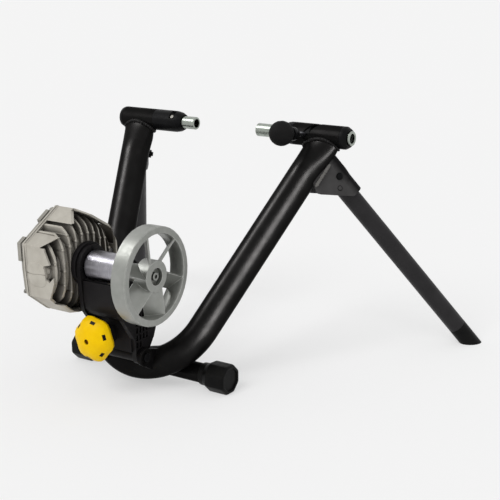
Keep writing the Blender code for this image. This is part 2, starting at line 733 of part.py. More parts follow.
def add_flange_screws():
    head = CHEEK_LEFT[1] + SEAT_GAP
    for i in range(4):
        origin = around_rotor(math.pi / 2 * i, FLANGE_SCREW_CIRCLE, 0)
        screw = turned([
            (0, head + 0.0012), (0.0020, head + 0.0011), (0.0031, head), (0.0019, head), (0.0019, -0.0530),
            (0, -0.0530)], origin, ALONG_X, 8)
        finish(screw, f"flange_screw_{i + 1}", ZINC, UNIT_TILT)


def add_bearings():
    bore = SHAFT_RADIUS + 0.0001
    left = turned_on_rotor(sleeve(BEARING_RADIUS, bore, CHEEK_LEFT[1] - 0.0018, CHEEK_LEFT[0] + 0.0003),
                           20, closed=True)
    finish(left, "left_bearing", ZINC, UNIT_TILT)
    right = turned_on_rotor(sleeve(BEARING_RADIUS, bore, CHEEK_RIGHT[1] - 0.0002, CHEEK_RIGHT[0] + 0.0013),
                            20, closed=True)
    finish(right, "right_bearing", ZINC, UNIT_TILT)


# Finned housing of the fluid unit

RIM_HALF_OUTLINE = [(0.0, 0.0860), (0.0765, 0.0400), (0.0755, -0.0025), (0.0715, -0.0440), (0.0320, -0.0750)]
REAR_OPENING = [
    (-0.030, 0.300), (-0.070, 0.300), (-0.070, 0.2905), (-0.0490, 0.2768), (-0.1000, 0.2768), (-0.1000, 0.2615),
    (-0.0529, 0.2600), (-0.0720, 0.2464), (-0.0642, 0.2455), (-0.0630, 0.2405), (-0.0543, 0.2210),
    (-0.0654, 0.2181), (-0.0625, 0.2036), (-0.0637, 0.1974), (-0.0570, 0.1925), (-0.0428, 0.2067),
    (-0.0485, 0.1914), (-0.0605, 0.1641), (-0.0640, 0.1535), (-0.0480, 0.1525), (-0.0420, 0.1480), (-0.030, 0.1480)]
FRONT_WINDOWS = [
    [(-0.0530, 0.2230), (-0.0960, 0.2230), (-0.0960, 0.2610), (-0.0600, 0.2610), (-0.0530, 0.2540)],
    [(-0.0530, 0.1680), (-0.0960, 0.1620), (-0.0960, 0.2150), (-0.0530, 0.2150)]]
COVER_SCREW_ANGLES = [math.radians(a) for a in (27.6, 90, 152.4, 211.6, 328.4)]
COVER_SCREW_CIRCLE = 0.0775


def rim_outline(scale=1.0):
    """The faceted outline of the housing's rim, in (Y from the axle, height)."""
    left = [(-y, z) for y, z in reversed(RIM_HALF_OUTLINE) if y > 0]
    return [(ROTOR_Y + y * scale, ROTOR_HEIGHT + z * scale) for y, z in reversed(RIM_HALF_OUTLINE + left)]


def fin_envelope():
    """The space that the fins fill: the rim's prism with its front rounded off."""
    nose = turned_on_rotor([
        (0, HOUSING_FRONT), (0.0490, HOUSING_FRONT), (0.0590, -0.0505), (0.0655, -0.0550), (0.0710, -0.0620),
        (0.0765, -0.0710), (0.0830, -0.0840), (0.0890, PARTING_X + 0.001), (0, PARTING_X + 0.001)], 24)
    return keep_inside(nose, side_plate(rim_outline(0.980), PARTING_X, HOUSING_FRONT + 0.01))


def fin_blanks():
    """Upright blanks side by side across the housing; only what lies in the envelope is kept."""
    blanks = []
    for i in range(FIN_COUNT):
        y = ROTOR_Y + (i - (FIN_COUNT - 1) / 2) * FIN_PITCH
        blanks.append(box(from_axle(PARTING_X + 0.003, y - FIN_THICKNESS / 2, ROTOR_HEIGHT - 0.09),
                          from_axle(HOUSING_FRONT + 0.005, y + FIN_THICKNESS / 2, ROTOR_HEIGHT + 0.09)))
    return blanks


def rear_cutter(outline, behind, before):
    """An outline in (X, height), extruded along the bicycle between two distances behind the axle."""
    return extruded(outline, frame_at(Vector((0, AXLE_Y, 0)), -ALONG_Y, ALONG_X), before, behind)


def add_skin():
    """The faceted hood that wraps the fins, open where the fins show."""
    skin = side_plate(rim_outline(), PARTING_X + 0.0045, HOUSING_FRONT)
    inner = side_plate(rim_outline(1 - SKIN_THICKNESS / 0.0735), PARTING_X, HOUSING_FRONT + 0.01)
    nose = turned_on_rotor([
        (0, -0.047), (0.0770, -0.047), (0.0815, -0.056), (0.0875, -0.069), (0.0920, -0.080), (0.0920, -0.109),
        (0, -0.109)], 24)
    keep_inside(skin, nose)
    return cut(skin, inner, rear_cutter(REAR_OPENING, 0.45, -ROTOR_Y),
               *[rear_cutter(outline, -ROTOR_Y - 0.02, 0.20) for outline in FRONT_WINDOWS])


def add_housing():
    body = turned_on_rotor([
        (0, -0.0403), (0.0350, -0.0403), (0.0350, -0.0520), (0.0510, -0.0570), (0.0545, -0.0620),
        (0.0545, PARTING_X + 0.002), (0, PARTING_X + 0.002)], 24)
    for blank in fin_blanks():
        join(body, keep_inside(blank, fin_envelope()))
    join(body, side_plate(rim_outline(1.004), PARTING_X, PARTING_X + 0.008), add_skin())
    chamber = turned_on_rotor([
        (0, -0.038), (0.0075, -0.038), (0.0075, -0.0540), (0.0120, -0.0540), (0.0120, -0.0620),
        (CHAMBER_RADIUS, -0.0620), (CHAMBER_RADIUS, PARTING_X - 0.002), (0, PARTING_X - 0.002)], 24)
    flange_holes = [rod(around_rotor(math.pi / 2 * i, FLANGE_SCREW_CIRCLE, -0.056),
                        around_rotor(math.pi / 2 * i, FLANGE_SCREW_CIRCLE, -0.038), 0.0023, 8) for i in range(4)]
    cover_holes = [rod(around_rotor(math.pi / 2 - a, COVER_SCREW_CIRCLE, PARTING_X - 0.002),
                       around_rotor(math.pi / 2 - a, COVER_SCREW_CIRCLE, PARTING_X + 0.0065), 0.0023, 8)
                   for a in COVER_SCREW_ANGLES]
    cut(body, chamber, *flange_holes, *cover_holes)
    finish(body, "housing_body", CAST_ALUMINIUM, UNIT_TILT)
    seal = turned_on_rotor(sleeve(0.0117, SHAFT_RADIUS + 0.0002, -0.0543, -0.0610), 16, closed=True)
    finish(seal, "shaft_seal", RUBBER, UNIT_TILT)


def cover_pad(start, end, front):
    """A raised pad of the cover's flange, between two angles measured from +Y towards +Z."""
    pad = side_plate(rim_outline(0.985), front - 0.0110, front - 0.0040)
    centre = (ROTOR_Y, ROTOR_HEIGHT)
    start, end = math.radians(start), math.radians(end)
    return keep_inside(pad, side_plate([centre, *circle(centre, 0.13, 3, start, end - start)],
                                       front - 0.02, front + 0.01))


def add_cover():
    gasket = turned_on_rotor(sleeve(0.0630, 0.0520, PARTING_X - SEAT_GAP, PARTING_X - 0.0012), 24, closed=True)
    finish(gasket, "housing_gasket", RUBBER, UNIT_TILT)
    front = PARTING_X - 0.0015
    cover = side_plate(rim_outline(0.960), front - 0.0060, front)
    pads = [cover_pad(start, end, front) for start, end in ((96, 114), (143, 172), (8, 37), (66, 84))]
    dome = turned_on_rotor([
        (0, front - 0.004), (0.0700, front - 0.004), (0.0690, front - 0.0085), (0.0620, front - 0.0150),
        (0.0480, front - 0.0185), (0, front - 0.0195)], 24)
    join(cover, dome, *pads)
    recess = turned_on_rotor([
        (0, front + 0.001), (0.0480, front + 0.001), (0.0480, front - 0.008), (0.0400, front - 0.0130),
        (0, front - 0.0140)], 20)
    seat = front - 0.0060
    cut(cover, recess, *[rod(around_rotor(math.pi / 2 - a, COVER_SCREW_CIRCLE, seat - 0.02),
                             around_rotor(math.pi / 2 - a, COVER_SCREW_CIRCLE, front + 0.002), 0.0023, 8)
                         for a in COVER_SCREW_ANGLES],
        *[rod(around_rotor(math.pi / 2 - a, COVER_SCREW_CIRCLE, seat - 0.02),
              around_rotor(math.pi / 2 - a, COVER_SCREW_CIRCLE, seat + 0.0004), 0.0045, 12)
          for a in COVER_SCREW_ANGLES])
    finish(cover, "housing_cover", CAST_ALUMINIUM, UNIT_TILT)
    for i, angle in enumerate(COVER_SCREW_ANGLES):
        head = seat + 0.0004 - SEAT_GAP
        screw = turned([
            (0, PARTING_X + 0.005), (0.0019, PARTING_X + 0.005), (0.0019, head), (0.0036, head),
            (0.0036, head - 0.0030), (0, head - 0.0030)],
            around_rotor(math.pi / 2 - angle, COVER_SCREW_CIRCLE, 0), ALONG_X, 8)
        finish(screw, f"cover_screw_{i + 1}", ZINC, UNIT_TILT)


# Spinning parts

def add_shaft_and_roller():
    bolt_bore = 0.0042
    shaft = turned_on_rotor([
        (bolt_bore, 0.0842), (SHAFT_RADIUS, 0.0842), (SHAFT_RADIUS, -0.1000), (0, -0.1000), (0, 0.0600),
        (bolt_bore, 0.0620)], 16, closed=True)
    finish(shaft, "shaft", ZINC, ROTOR_SPIN)
    outer, inner = ROLLER_RADIUS, ROLLER_RADIUS - 0.004
    hub, bore = 0.0105, SHAFT_RADIUS + SEAT_GAP
    low, high = -0.0310, 0.0315
    roller = turned_on_rotor([
        (inner, high), (outer - 0.0005, high), (outer, high - 0.0005), (outer, low + 0.0005),
        (outer - 0.0005, low), (inner, low), (inner, -0.0080), (hub, -0.0080), (hub, low + 0.001), (bore, low + 0.001),
        (bore, high - 0.001), (hub, high - 0.001), (hub, 0.0080), (inner, 0.0080)], 24, closed=True)
    finish(roller, "roller", ROLLER_STEEL, ROTOR_SPIN)


def add_impeller():
    bore = SHAFT_RADIUS + SEAT_GAP
    disc = turned_on_rotor([
        (bore, -0.0700), (0.0130, -0.0700), (0.0130, -0.0800), (0.0460, -0.0800), (0.0460, -0.0830),
        (0.0130, -0.0830), (0.0130, -0.0960), (bore, -0.0960)], 16, closed=True)
    vanes = []
    for i in range(8):
        matrix = frame_at(from_axle(0, ROTOR_Y, ROTOR_HEIGHT), ALONG_X, Vector((0, math.cos(i * math.pi / 4),
                                                                              math.sin(i * math.pi / 4))))
        vanes.append(box((0.0110, -0.0013, -0.0940), (0.0450, 0.0013, -0.0720), matrix))
    join(disc, *vanes)
    finish(disc, "impeller", CAST_ALUMINIUM, ROTOR_SPIN)


def flywheel_blade(angle):
    """A flat blade, pitched about its own radius, so that air is drawn through the wheel."""
    middle = (FLYWHEEL_BACK + FLYWHEEL_FRONT) / 2
    depth = 0.0235 / math.cos(BLADE_PITCH)
    radial = around_rotor(angle, 1, 0) - around_rotor(angle, 0, 0)
    matrix = frame_at(around_rotor(angle, 0, middle), radial, ALONG_X)
    turn = Matrix.Rotation(-BLADE_PITCH, 4, "Z")
    return box((-depth / 2, -0.0015, 0.0215), (depth / 2, 0.0015, 0.0690), matrix @ turn)


def add_flywheel():
    back, front = FLYWHEEL_BACK, FLYWHEEL_FRONT
    edge = 0.0012
    rim = turned_on_rotor([
        (0.0668, front), (FLYWHEEL_RADIUS - edge, front), (FLYWHEEL_RADIUS, front - edge),
        (FLYWHEEL_RADIUS, back + edge), (FLYWHEEL_RADIUS - edge, back), (0.0668, back), (0.0652, back + 0.004),
        (0.0652, front - 0.004)], 40, closed=True)
    bore = SHAFT_RADIUS + SEAT_GAP
    hub = turned_on_rotor([
        (0.0136, front - 0.001), (0.0245, front - 0.001), (0.0253, front - 0.0018), (0.0253, back + 0.003),
        (0.0140, back + 0.001), (0.0140, 0.0436), (bore, 0.0436), (bore, front - 0.0085), (0.0136, front - 0.0085)],
        24, closed=True)
    blades = [flywheel_blade(BLADE_START + 2 * math.pi * i / BLADE_COUNT) for i in range(BLADE_COUNT)]
    join(rim, hub, *blades)
    finish(rim, "flywheel", FLYWHEEL_METAL, ROTOR_SPIN)
    seat = front - 0.0085 + SEAT_GAP
    screw = turned_on_rotor([
        (0, seat + 0.0058), (0.0062, seat + 0.0058), (0.0068, seat + 0.0050), (0.0068, seat), (0.0040, seat),
        (0.0040, 0.0640), (0, 0.0630)], 14)
    cut(screw, rotor_rod(0.0034, seat + 0.002, seat + 0.02, 6))
    finish(screw, "flywheel_bolt", DARK_STEEL, ROTOR_SPIN)


# Knob, its washer and the bolt that it turns on

BOLT_RADIUS = 0.0040
KNOB_RADIUS = 0.0375
KNOB_BACK = 0.0165
KNOB_FRONT = 0.0200
KNOB_SCALLOP = 0.045
KNOB_VALLEY = math.radians(-11)


def behind_anchor(distance):
    return from_axle(KNOB_X, ANCHOR_Y - distance, KNOB_HEIGHT)


def add_tension_bolt():
    length = 0.1200
    bolt = rod(behind_anchor(0.004), behind_anchor(length), BOLT_RADIUS)
    eye = anchor_rod(0.0075, -0.0050, 0.0050, 14)
    join(bolt, eye)
    cut(bolt, anchor_rod(0.0033, -0.01, 0.01))
    finish(bolt, "tension_bolt", ZINC, BOLT_SWING)


def add_knob():
    seat = ANCHOR_Y - (SEAT_CENTRE_Y - SEAT_RADIUS) + 0.0006
    washer = turned(sleeve(0.0100, BOLT_RADIUS + SEAT_GAP, seat + 0.0020, seat), behind_anchor(0), -ALONG_Y, 16,
                    closed=True)
    finish(washer, "knob_washer", ZINC, KNOB_SLIDE)
    back = seat + 0.0023
    bm = bmesh.new()
    bmesh.ops.create_uvsphere(bm, u_segments=30, v_segments=10, radius=1)
    lobes = 6
    for vertex in bm.verts:
        around = math.atan2(vertex.co.y, vertex.co.x) - KNOB_VALLEY
        lobe = 1 - KNOB_SCALLOP * (1 + math.cos(lobes * around))
        vertex.co.x *= KNOB_RADIUS * lobe
        vertex.co.y *= KNOB_RADIUS * lobe
        vertex.co.z *= KNOB_FRONT if vertex.co.z > 0 else KNOB_BACK
    middle = back + KNOB_BACK
    knob = link_mesh(bm, frame_at(behind_anchor(middle), -ALONG_Y, UP))
    slots = []
    for i in range(lobes):
        matrix = knob.matrix_world @ Matrix.Rotation(KNOB_VALLEY + i * 2 * math.pi / lobes, 4, "Z")
        slots.append(box((0.0275, -0.0045, 0.0070), (0.0310, 0.0045, 0.03), matrix))
    bore = rod(behind_anchor(back - 0.01), behind_anchor(back + 0.06), BOLT_RADIUS + SEAT_GAP)
    cut(knob, bore, *slots)
    finish(knob, "knob", KNOB_YELLOW, KNOB_TURN)


def build():
    add_main_tube()
    add_cross_tubes()
    add_noses()
    add_tips()
    add_lever()
    add_end_caps()
    add_crossbar()
    add_legs()
    add_leg_brackets()
    add_frame_lug()
    add_yoke()
    add_housing()
    add_cover()
    add_shaft_and_roller()
    add_impeller()
    add_flywheel()
    add_tension_bolt()
    add_knob()


clear_scene()
PARTS = new_collection("fluid_bike_trainer")
CUTTERS = new_collection("cutters")

POWDER_COAT = new_material("powder_coat", (0.016, 0.015, 0.016), 0.42, 0.0)
BLACK_PLASTIC = new_material("black_plastic", (0.018, 0.018, 0.019), 0.45, 0.0)
RUBBER = new_material("rubber", (0.015, 0.015, 0.015), 0.75, 0.0)
PRESSED_STEEL = new_material("pressed_steel", (0.065, 0.063, 0.062), 0.5, 0.0)
BLACK_SCREW = new_material("black_screw", (0.02, 0.02, 0.02), 0.4, 0.6)
ZINC = new_material("zinc_plated_steel", (0.62, 0.64, 0.60), 0.28, 1.0)
DARK_STEEL = new_material("dark_steel", (0.20, 0.20, 0.22), 0.35, 1.0)
CASTING_BLACK = new_material("black_casting", (0.018, 0.017, 0.018), 0.5, 0.0)
CAST_ALUMINIUM = new_material("cast_aluminium", (0.52, 0.49, 0.45), 0.45, 1.0)
FLYWHEEL_METAL = new_material("flywheel_metal", (0.42, 0.43, 0.41), 0.40, 1.0)
ROLLER_STEEL = new_material("roller_steel", (0.58, 0.57, 0.62), 0.22, 1.0)
KNOB_YELLOW = new_material("knob_yellow", (0.90, 0.62, 0.01), 0.38, 0.0)

FRAME = new_empty("trainer", (0, 0, 0))
LEFT_TIP_SLIDE = new_empty("left_tip_slide", from_axle(LEFT_TIP_END, 0, AXLE_HEIGHT), FRAME)
CLAMP_SLIDE = new_empty("clamp_slide", from_axle(RIGHT_TIP_END, 0, AXLE_HEIGHT), FRAME)
LEVER_TURN = new_empty("lever_turn", from_axle(LEVER_X, 0, AXLE_HEIGHT), CLAMP_SLIDE)
RIGHT_LEG_HINGE = new_empty("right_leg_hinge", hinge_point(), FRAME)
LEFT_LEG_HINGE = new_empty("left_leg_hinge", hinge_point() * Vector((-1, 1, 1)), FRAME)
UNIT_TILT = new_empty("unit_tilt", from_axle(0, PIVOT_Y, PIVOT_HEIGHT), FRAME)
ROTOR_SPIN = new_empty("rotor_spin", from_axle(0, ROTOR_Y, ROTOR_HEIGHT), UNIT_TILT)
BOLT_SWING = new_empty("bolt_swing", from_axle(KNOB_X, ANCHOR_Y, KNOB_HEIGHT), FRAME)
KNOB_SLIDE = new_empty("knob_slide", behind_anchor(0.085), BOLT_SWING)
KNOB_TURN = new_empty("knob_turn", behind_anchor(0.095), KNOB_SLIDE)

build()
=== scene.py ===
import json
import math
import random

import bmesh
import bpy
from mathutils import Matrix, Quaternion, Vector
from mathutils.bvhtree import BVHTree

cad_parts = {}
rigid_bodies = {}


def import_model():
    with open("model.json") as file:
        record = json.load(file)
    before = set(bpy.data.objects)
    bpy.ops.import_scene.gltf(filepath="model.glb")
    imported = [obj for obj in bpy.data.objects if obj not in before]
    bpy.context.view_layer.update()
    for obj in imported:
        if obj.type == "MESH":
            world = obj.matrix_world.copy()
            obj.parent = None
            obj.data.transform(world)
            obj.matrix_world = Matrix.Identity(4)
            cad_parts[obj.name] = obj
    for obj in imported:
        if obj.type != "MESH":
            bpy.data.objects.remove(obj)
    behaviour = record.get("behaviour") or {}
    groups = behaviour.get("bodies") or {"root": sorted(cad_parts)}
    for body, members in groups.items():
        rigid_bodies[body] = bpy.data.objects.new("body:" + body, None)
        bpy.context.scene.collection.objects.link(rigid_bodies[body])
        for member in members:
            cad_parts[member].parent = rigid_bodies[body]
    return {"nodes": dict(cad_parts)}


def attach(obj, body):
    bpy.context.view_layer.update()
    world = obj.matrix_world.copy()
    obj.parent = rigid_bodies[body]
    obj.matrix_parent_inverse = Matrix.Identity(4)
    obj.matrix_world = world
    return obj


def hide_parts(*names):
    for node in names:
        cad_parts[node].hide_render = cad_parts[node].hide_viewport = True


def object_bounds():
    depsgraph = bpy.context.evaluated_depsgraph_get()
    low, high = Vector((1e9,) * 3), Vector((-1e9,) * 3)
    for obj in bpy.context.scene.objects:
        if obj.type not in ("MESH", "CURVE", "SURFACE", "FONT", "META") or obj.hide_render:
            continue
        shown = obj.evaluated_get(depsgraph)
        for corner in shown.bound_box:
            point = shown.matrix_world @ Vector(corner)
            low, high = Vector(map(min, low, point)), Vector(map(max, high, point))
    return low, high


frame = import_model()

CAD_LOW, CAD_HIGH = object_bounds()
NODES = frame["nodes"]

# How the CAD nodes are shaded: the gap that is welded shut, and the angle from which an edge stays sharp
WELD_DISTANCE = 0.00002
SHARP_ANGLE = math.radians(33)

# Lengths in metres: X runs along the axle, Y towards the bicycle's front wheel, Z up
AXLE_Y = 0.0928
AXLE_HEIGHT = 0.385
ROTOR = Vector((0, AXLE_Y - 0.3305, 0.2082))

# The camera that fits the photograph
CAMERA_PLACE = Vector((1.1177, -1.6109 + AXLE_Y, 0.6874))
CAMERA_AZIMUTH = math.radians(33.744)
CAMERA_ELEVATION = math.radians(15.009)
CAMERA_ROLL = math.radians(-0.272)
CAMERA_LENS = 81.29
CAMERA_SENSOR = 36.0

# The stage: strengths where 1 is white, half the floor's width, and the place that the panels point at
BACKGROUND = 0.888
SKY_LIGHT = 0.62
FLOOR_WHITE = 0.862
FLOOR_GLOW = 1.0
FLOOR_GLOW_SHARE = 0.5
FLOOR_HALF = 30.0
LAMP_TARGET = (0, -0.05, 0.22)

# The bent frame tube in its leaning plane: TUBE_UP runs up in it, TUBE_FRONT out of it towards the camera
MAIN_TUBE_RADIUS = 0.0252
CROSS_RADIUS = 0.019
FRAME_LEAN = math.radians(37.9)
UPRIGHT_HALF_SPAN = 0.1978
UPRIGHT_SPLAY = 0.2649
BEND_RADIUS = 0.104
SLANT = math.hypot(1, UPRIGHT_SPLAY)
BEND_DOWN = (UPRIGHT_HALF_SPAN - BEND_RADIUS * SLANT) / UPRIGHT_SPLAY
BEND_HALF_ANGLE = math.atan2(1, UPRIGHT_SPLAY)
ALONG_X = Vector((1, 0, 0))
TUBE_UP = Vector((0, math.sin(FRAME_LEAN), math.cos(FRAME_LEAN)))
TUBE_FRONT = Vector((0, -math.cos(FRAME_LEAN), math.sin(FRAME_LEAN)))
AXLE = Vector((0, AXLE_Y, AXLE_HEIGHT))
TOP_BEAD_SCALE = 1.02
TOP_BEAD_DROP = 0.0018
TOP_BEAD_RADIUS = 0.0034
TOP_BEAD_THINNING = 0.45
TOP_BEAD_THINNED_AT = 0.024

# The right leg; the left one is its mirror image
HINGE = Vector((0.2096, AXLE_Y + 0.0005, 0.320))
LEG_AXIS = (Vector((0.3814, AXLE_Y + 0.2032, 0)) - HINGE).normalized()
UPRIGHT_AXIS = (ALONG_X * -UPRIGHT_SPLAY - TUBE_UP) / SLANT
BOLT_AXIS = UPRIGHT_AXIS.cross(LEG_AXIS).normalized()
TO_FOOT = (UPRIGHT_AXIS - LEG_AXIS * UPRIGHT_AXIS.dot(LEG_AXIS)).normalized()

# The unit's pivot and anchor and the roots of what holds them as (y, z) pairs, the ears and cheeks as pairs of X,
# and the saddle that carries them on the frame tube's bend
PIVOT = (AXLE_Y - 0.3099, 0.0638)
ANCHOR = (AXLE_Y - 0.2620, 0.1016)
ANCHOR_X = -0.0045
KNOB_FACE_Y = -0.2736
EAR_ROOT = (AXLE_Y - 0.2720, 0.0470)
CHEEK_ROOT = (AXLE_Y - 0.2690, 0.0500)
UNIT_EARS = ((0.0430, 0.0485), (-0.0495, -0.0440))
ANCHOR_CHEEKS = ((ANCHOR_X - 0.0100, ANCHOR_X - 0.0055), (ANCHOR_X + 0.0055, ANCHOR_X + 0.0100))
SADDLE_HALF_ANGLE = math.radians(34)
SADDLE_LIFT = 0.0030
SADDLE_SINK = 0.0004
SADDLE_DEPTH = 0.0030

# The finned casting: its cover joint, the pips on its fins as (fin, height) pairs, the swelling on its hood
# in X and Z as (scale, lift) steps, and the witness line; rays start clear of its fins and of its hood
SEAM_X = -0.1035
SEAM_OFFSET = 0.0008
SEAM_STEP = 0.003
FIN_PITCH = 0.0138
MIDDLE_FIN = 4.5
FIN_ROOT_X = -0.101
FIN_RAY_X = 0.1
HOOD_RAY_Y = -0.4
PIP_LIMIT_X = -0.0460
PIP_RADIUS = 0.0021
PIPS = [(4, 0.2570), (5, 0.2560), (6, 0.2528), (7, 0.2419), (2, 0.2600), (3, 0.2487), (2, 0.2429), (1, 0.2390),
        (0, 0.2192), (1, 0.2060), (0, 0.1894), (1, 0.1832), (2, 0.1702),
        (9, 0.2192), (8, 0.2390), (8, 0.2060), (9, 0.1894), (8, 0.1832), (7, 0.1702)]
SWELLING_MIDDLE = (-0.0815, 0.2025)
SWELLING_HALF = (0.0195, 0.0210)
SWELLING_STEPS = ((1.0, -0.0003), (0.97, 0.0003), (0.90, 0.0009), (0.75, 0.0014), (0.45, 0.0016), (0.1, 0.0016))
SWELLING_LIMIT_Y = -0.3144
WITNESS_LIMIT_Y = -0.3141
WITNESS_HEIGHT = 0.2035
WITNESS_START_X = -0.1020
WITNESS_LENGTH = 0.0395
WITNESS_LIFT = 0.0013

# The crossbar and its feet
BAR_PLACE = Vector((0, AXLE_Y - 0.2324, 0.0236))
FOOT_START = 0.1064
FOOT_END = 0.1592

# The leg brackets: half widths across the bolt, how far the cheeks reach from the leg's axis as (along, reach)
# pairs, and the ends of the right bracket's weld
CHEEK_HALF = 0.0193
CHEEK_INNER = 0.0168
CHEEK_EDGE = [(-0.0450, 0.0330), (-0.0330, 0.0401), (-0.0155, 0.0458), (-0.0100, 0.0480), (-0.0056, 0.0471),
              (-0.0011, 0.0440), (0.0030, 0.0402), (0.0060, 0.0374), (0.0090, 0.0346), (0.0130, 0.0309),
              (0.0218, 0.0228), (0.0400, 0.0054), (0.0431, 0.0025), (0.0440, -0.0030)]
SHORTEST_REACH = 0.0005
TIGHT_CORNER = 0.0028
LOW_CORNER = 0.0070
ROUND_FROM = 0.0130
RIVET_RING_RADIUS = 0.0040
BRACKET_WELD = (Vector((0.2042, 0.0427, 0.3091)), Vector((0.2156, 0.0694, 0.3441)))
SIDE_BEAD_RADIUS = 0.0028

SIDES = ((-1, "left"), (1, "right"))


# Materials

class Nodes:
    """A material's node tree with a Principled shader, and short calls that add nodes to it."""

    def __init__(self, name):
        self.material = bpy.data.materials.new(name)
        self.material.use_nodes = True
        self.tree = self.material.node_tree
        self.shader = self.tree.nodes["Principled BSDF"]
        self.place = self.tree.nodes.new("ShaderNodeTexCoord").outputs["Object"]

    def add(self, kind, links=None, **values):
        node = self.tree.nodes.new(kind)
        for key, value in values.items():
            setattr(node, key, value)
        for socket, value in (links or {}).items():
            self.put(node.inputs[socket], value)
        return node

    def put(self, socket, value):
        if isinstance(value, bpy.types.NodeSocket):
            self.tree.links.new(value, socket)
        else:
            socket.default_value = value

    def set(self, **values):
        for name, value in values.items():
            self.put(self.shader.inputs[name.replace("_", " ")], value)

    def scaled(self, scale):
        """The place in the object, with a scale for each of its axes."""
        return self.add("ShaderNodeMapping", {"Vector": self.place, "Scale": scale}).outputs["Vector"]

    def noise(self, scale, detail, rough=0.5, place=None):
        sockets = {"Vector": place or self.place, "Scale": scale, "Detail": detail, "Roughness": rough}
        return self.add("ShaderNodeTexNoise", sockets).outputs["Fac"]

    def spots(self, scale):
        return self.add("ShaderNodeTexVoronoi", {"Vector": self.place, "Scale": scale}).outputs["Distance"]

    def ramp(self, value, low, high, start=0.0, end=1.0):
        sockets = {"Value": value, "From Min": low, "From Max": high, "To Min": start, "To Max": end}
        return self.add("ShaderNodeMapRange", sockets).outputs["Result"]

    def spread(self, noise, start, end):
        """A noise, most of which lies between 0.3 and 0.7, spread over a range."""
        return self.ramp(noise, 0.3, 0.7, start, end)

    def mix(self, factor, first, second):
        """A blend of two colours: a mix node's colour sockets are its inputs 6 and 7 and its output 2."""
        node = self.add("ShaderNodeMix", data_type="RGBA")
        self.put(node.inputs["Factor"], factor)
        self.put(node.inputs[6], first)
        self.put(node.inputs[7], second)
        return node.outputs[2]

    def math(self, operation, first, second=0.0):
        return self.add("ShaderNodeMath", {0: first, 1: second}, operation=operation).outputs[0]

    def vector(self, operation, first, second):
        node = self.add("ShaderNodeVectorMath", {0: first, 1: second}, operation=operation)
        return node.outputs["Value" if operation == "DOT_PRODUCT" else "Vector"]

    def axes(self):
        return self.add("ShaderNodeSeparateXYZ", {"Vector": self.place}).outputs

    def bump(self, height, strength, distance, normal):
        sockets = {"Height": height, "Strength": strength, "Distance": distance, "Normal": normal}
        return self.add("ShaderNodeBump", sockets).outputs["Normal"]

    def round_edges(self, radius):
        """A normal that is rounded off near edges, and how close an edge is, from 0 to 1."""
        soft = self.add("ShaderNodeBevel", {"Radius": radius}, samples=6).outputs["Normal"]
        true = self.add("ShaderNodeNewGeometry").outputs["Normal"]
        return soft, self.ramp(self.vector("DOT_PRODUCT", soft, true), 0.995, 0.80)

    def hollows(self, distance, open_at, full_at):
        """1 in corners and deep places, 0 on open faces; the mask for painted shade."""
        node = self.add("ShaderNodeAmbientOcclusion", {"Distance": distance}, samples=6)
        return self.ramp(node.outputs["AO"], open_at, full_at)


def linear(value):
    """A screen value from 0 to 255 as linear light."""
    value = value / 255
    return value / 12.92 if value <= 0.04045 else ((value + 0.055) / 1.055) ** 2.4


def colour(red, green, blue):
    """A colour from its screen values."""
    return (linear(red), linear(green), linear(blue), 1.0)


def paler(tone, factor):
    """A colour with its light multiplied."""
    return tuple(part * factor for part in tone[:3]) + (1.0,)


def paint(name, base, worn, roughness, peel, specular, wear=0.35, metallic=0.0, rim=1.0):
    """Satin powder coat: orange peel, cloudy gloss, and edges rubbed a little paler.

    A metallic share with a dark rim keeps the gloss from flaring where a tube turns away.
    """
    n = Nodes(name)
    soft, edge = n.round_edges(0.0007)
    clouds = n.noise(26, 4.0, 0.6)
    rubbed = n.math("MULTIPLY", edge, n.ramp(n.noise(140, 3.0), 0.45, 0.75, 0.0, wear))
    dusty = n.mix(n.ramp(clouds, 0.35, 0.70), base, paler(base, 1.35))
    n.set(Base_Color=n.mix(rubbed, dusty, worn))
    n.set(Roughness=n.spread(n.noise(60, 4.0), roughness - 0.05, roughness + 0.06))
    n.set(Specular_IOR_Level=specular, Metallic=metallic, Specular_Tint=(rim, rim, rim, 1))
    n.set(Normal=n.bump(n.noise(peel, 2.0), strength=0.25, distance=0.00012, normal=soft))
    return n.material


def moulded(name, base, shade, roughness, grain, specular, edge_highlight=None, slot_shade=None):
    """Moulded plastic or rubber with a fine spark-eroded grain and a painted highlight on its edges; with a slot
    shade, its narrow slots and deep places get painted shade.
    """
    n = Nodes(name)
    soft, edge = n.round_edges(0.0006)
    tone = n.mix(n.ramp(n.noise(45, 4.0, 0.6), 0.35, 0.65), base, shade)
    # Painted highlight: edges turn paler.
    skin = n.mix(n.math("MULTIPLY", edge, 0.25), tone, edge_highlight or paler(base, 2.2))
    # Painted shade: narrow slots and deep places turn dark when a slot colour is given.
    n.set(Base_Color=n.mix(n.hollows(0.0060, 0.72, 0.52), skin, slot_shade) if slot_shade else skin)
    n.set(Roughness=n.spread(n.noise(220, 3.0), roughness - 0.06, roughness + 0.06))
    n.set(Specular_IOR_Level=specular)
    n.set(Normal=n.bump(n.noise(grain, 3.0, 0.7), strength=0.4, distance=0.00010, normal=soft))
    return n.material


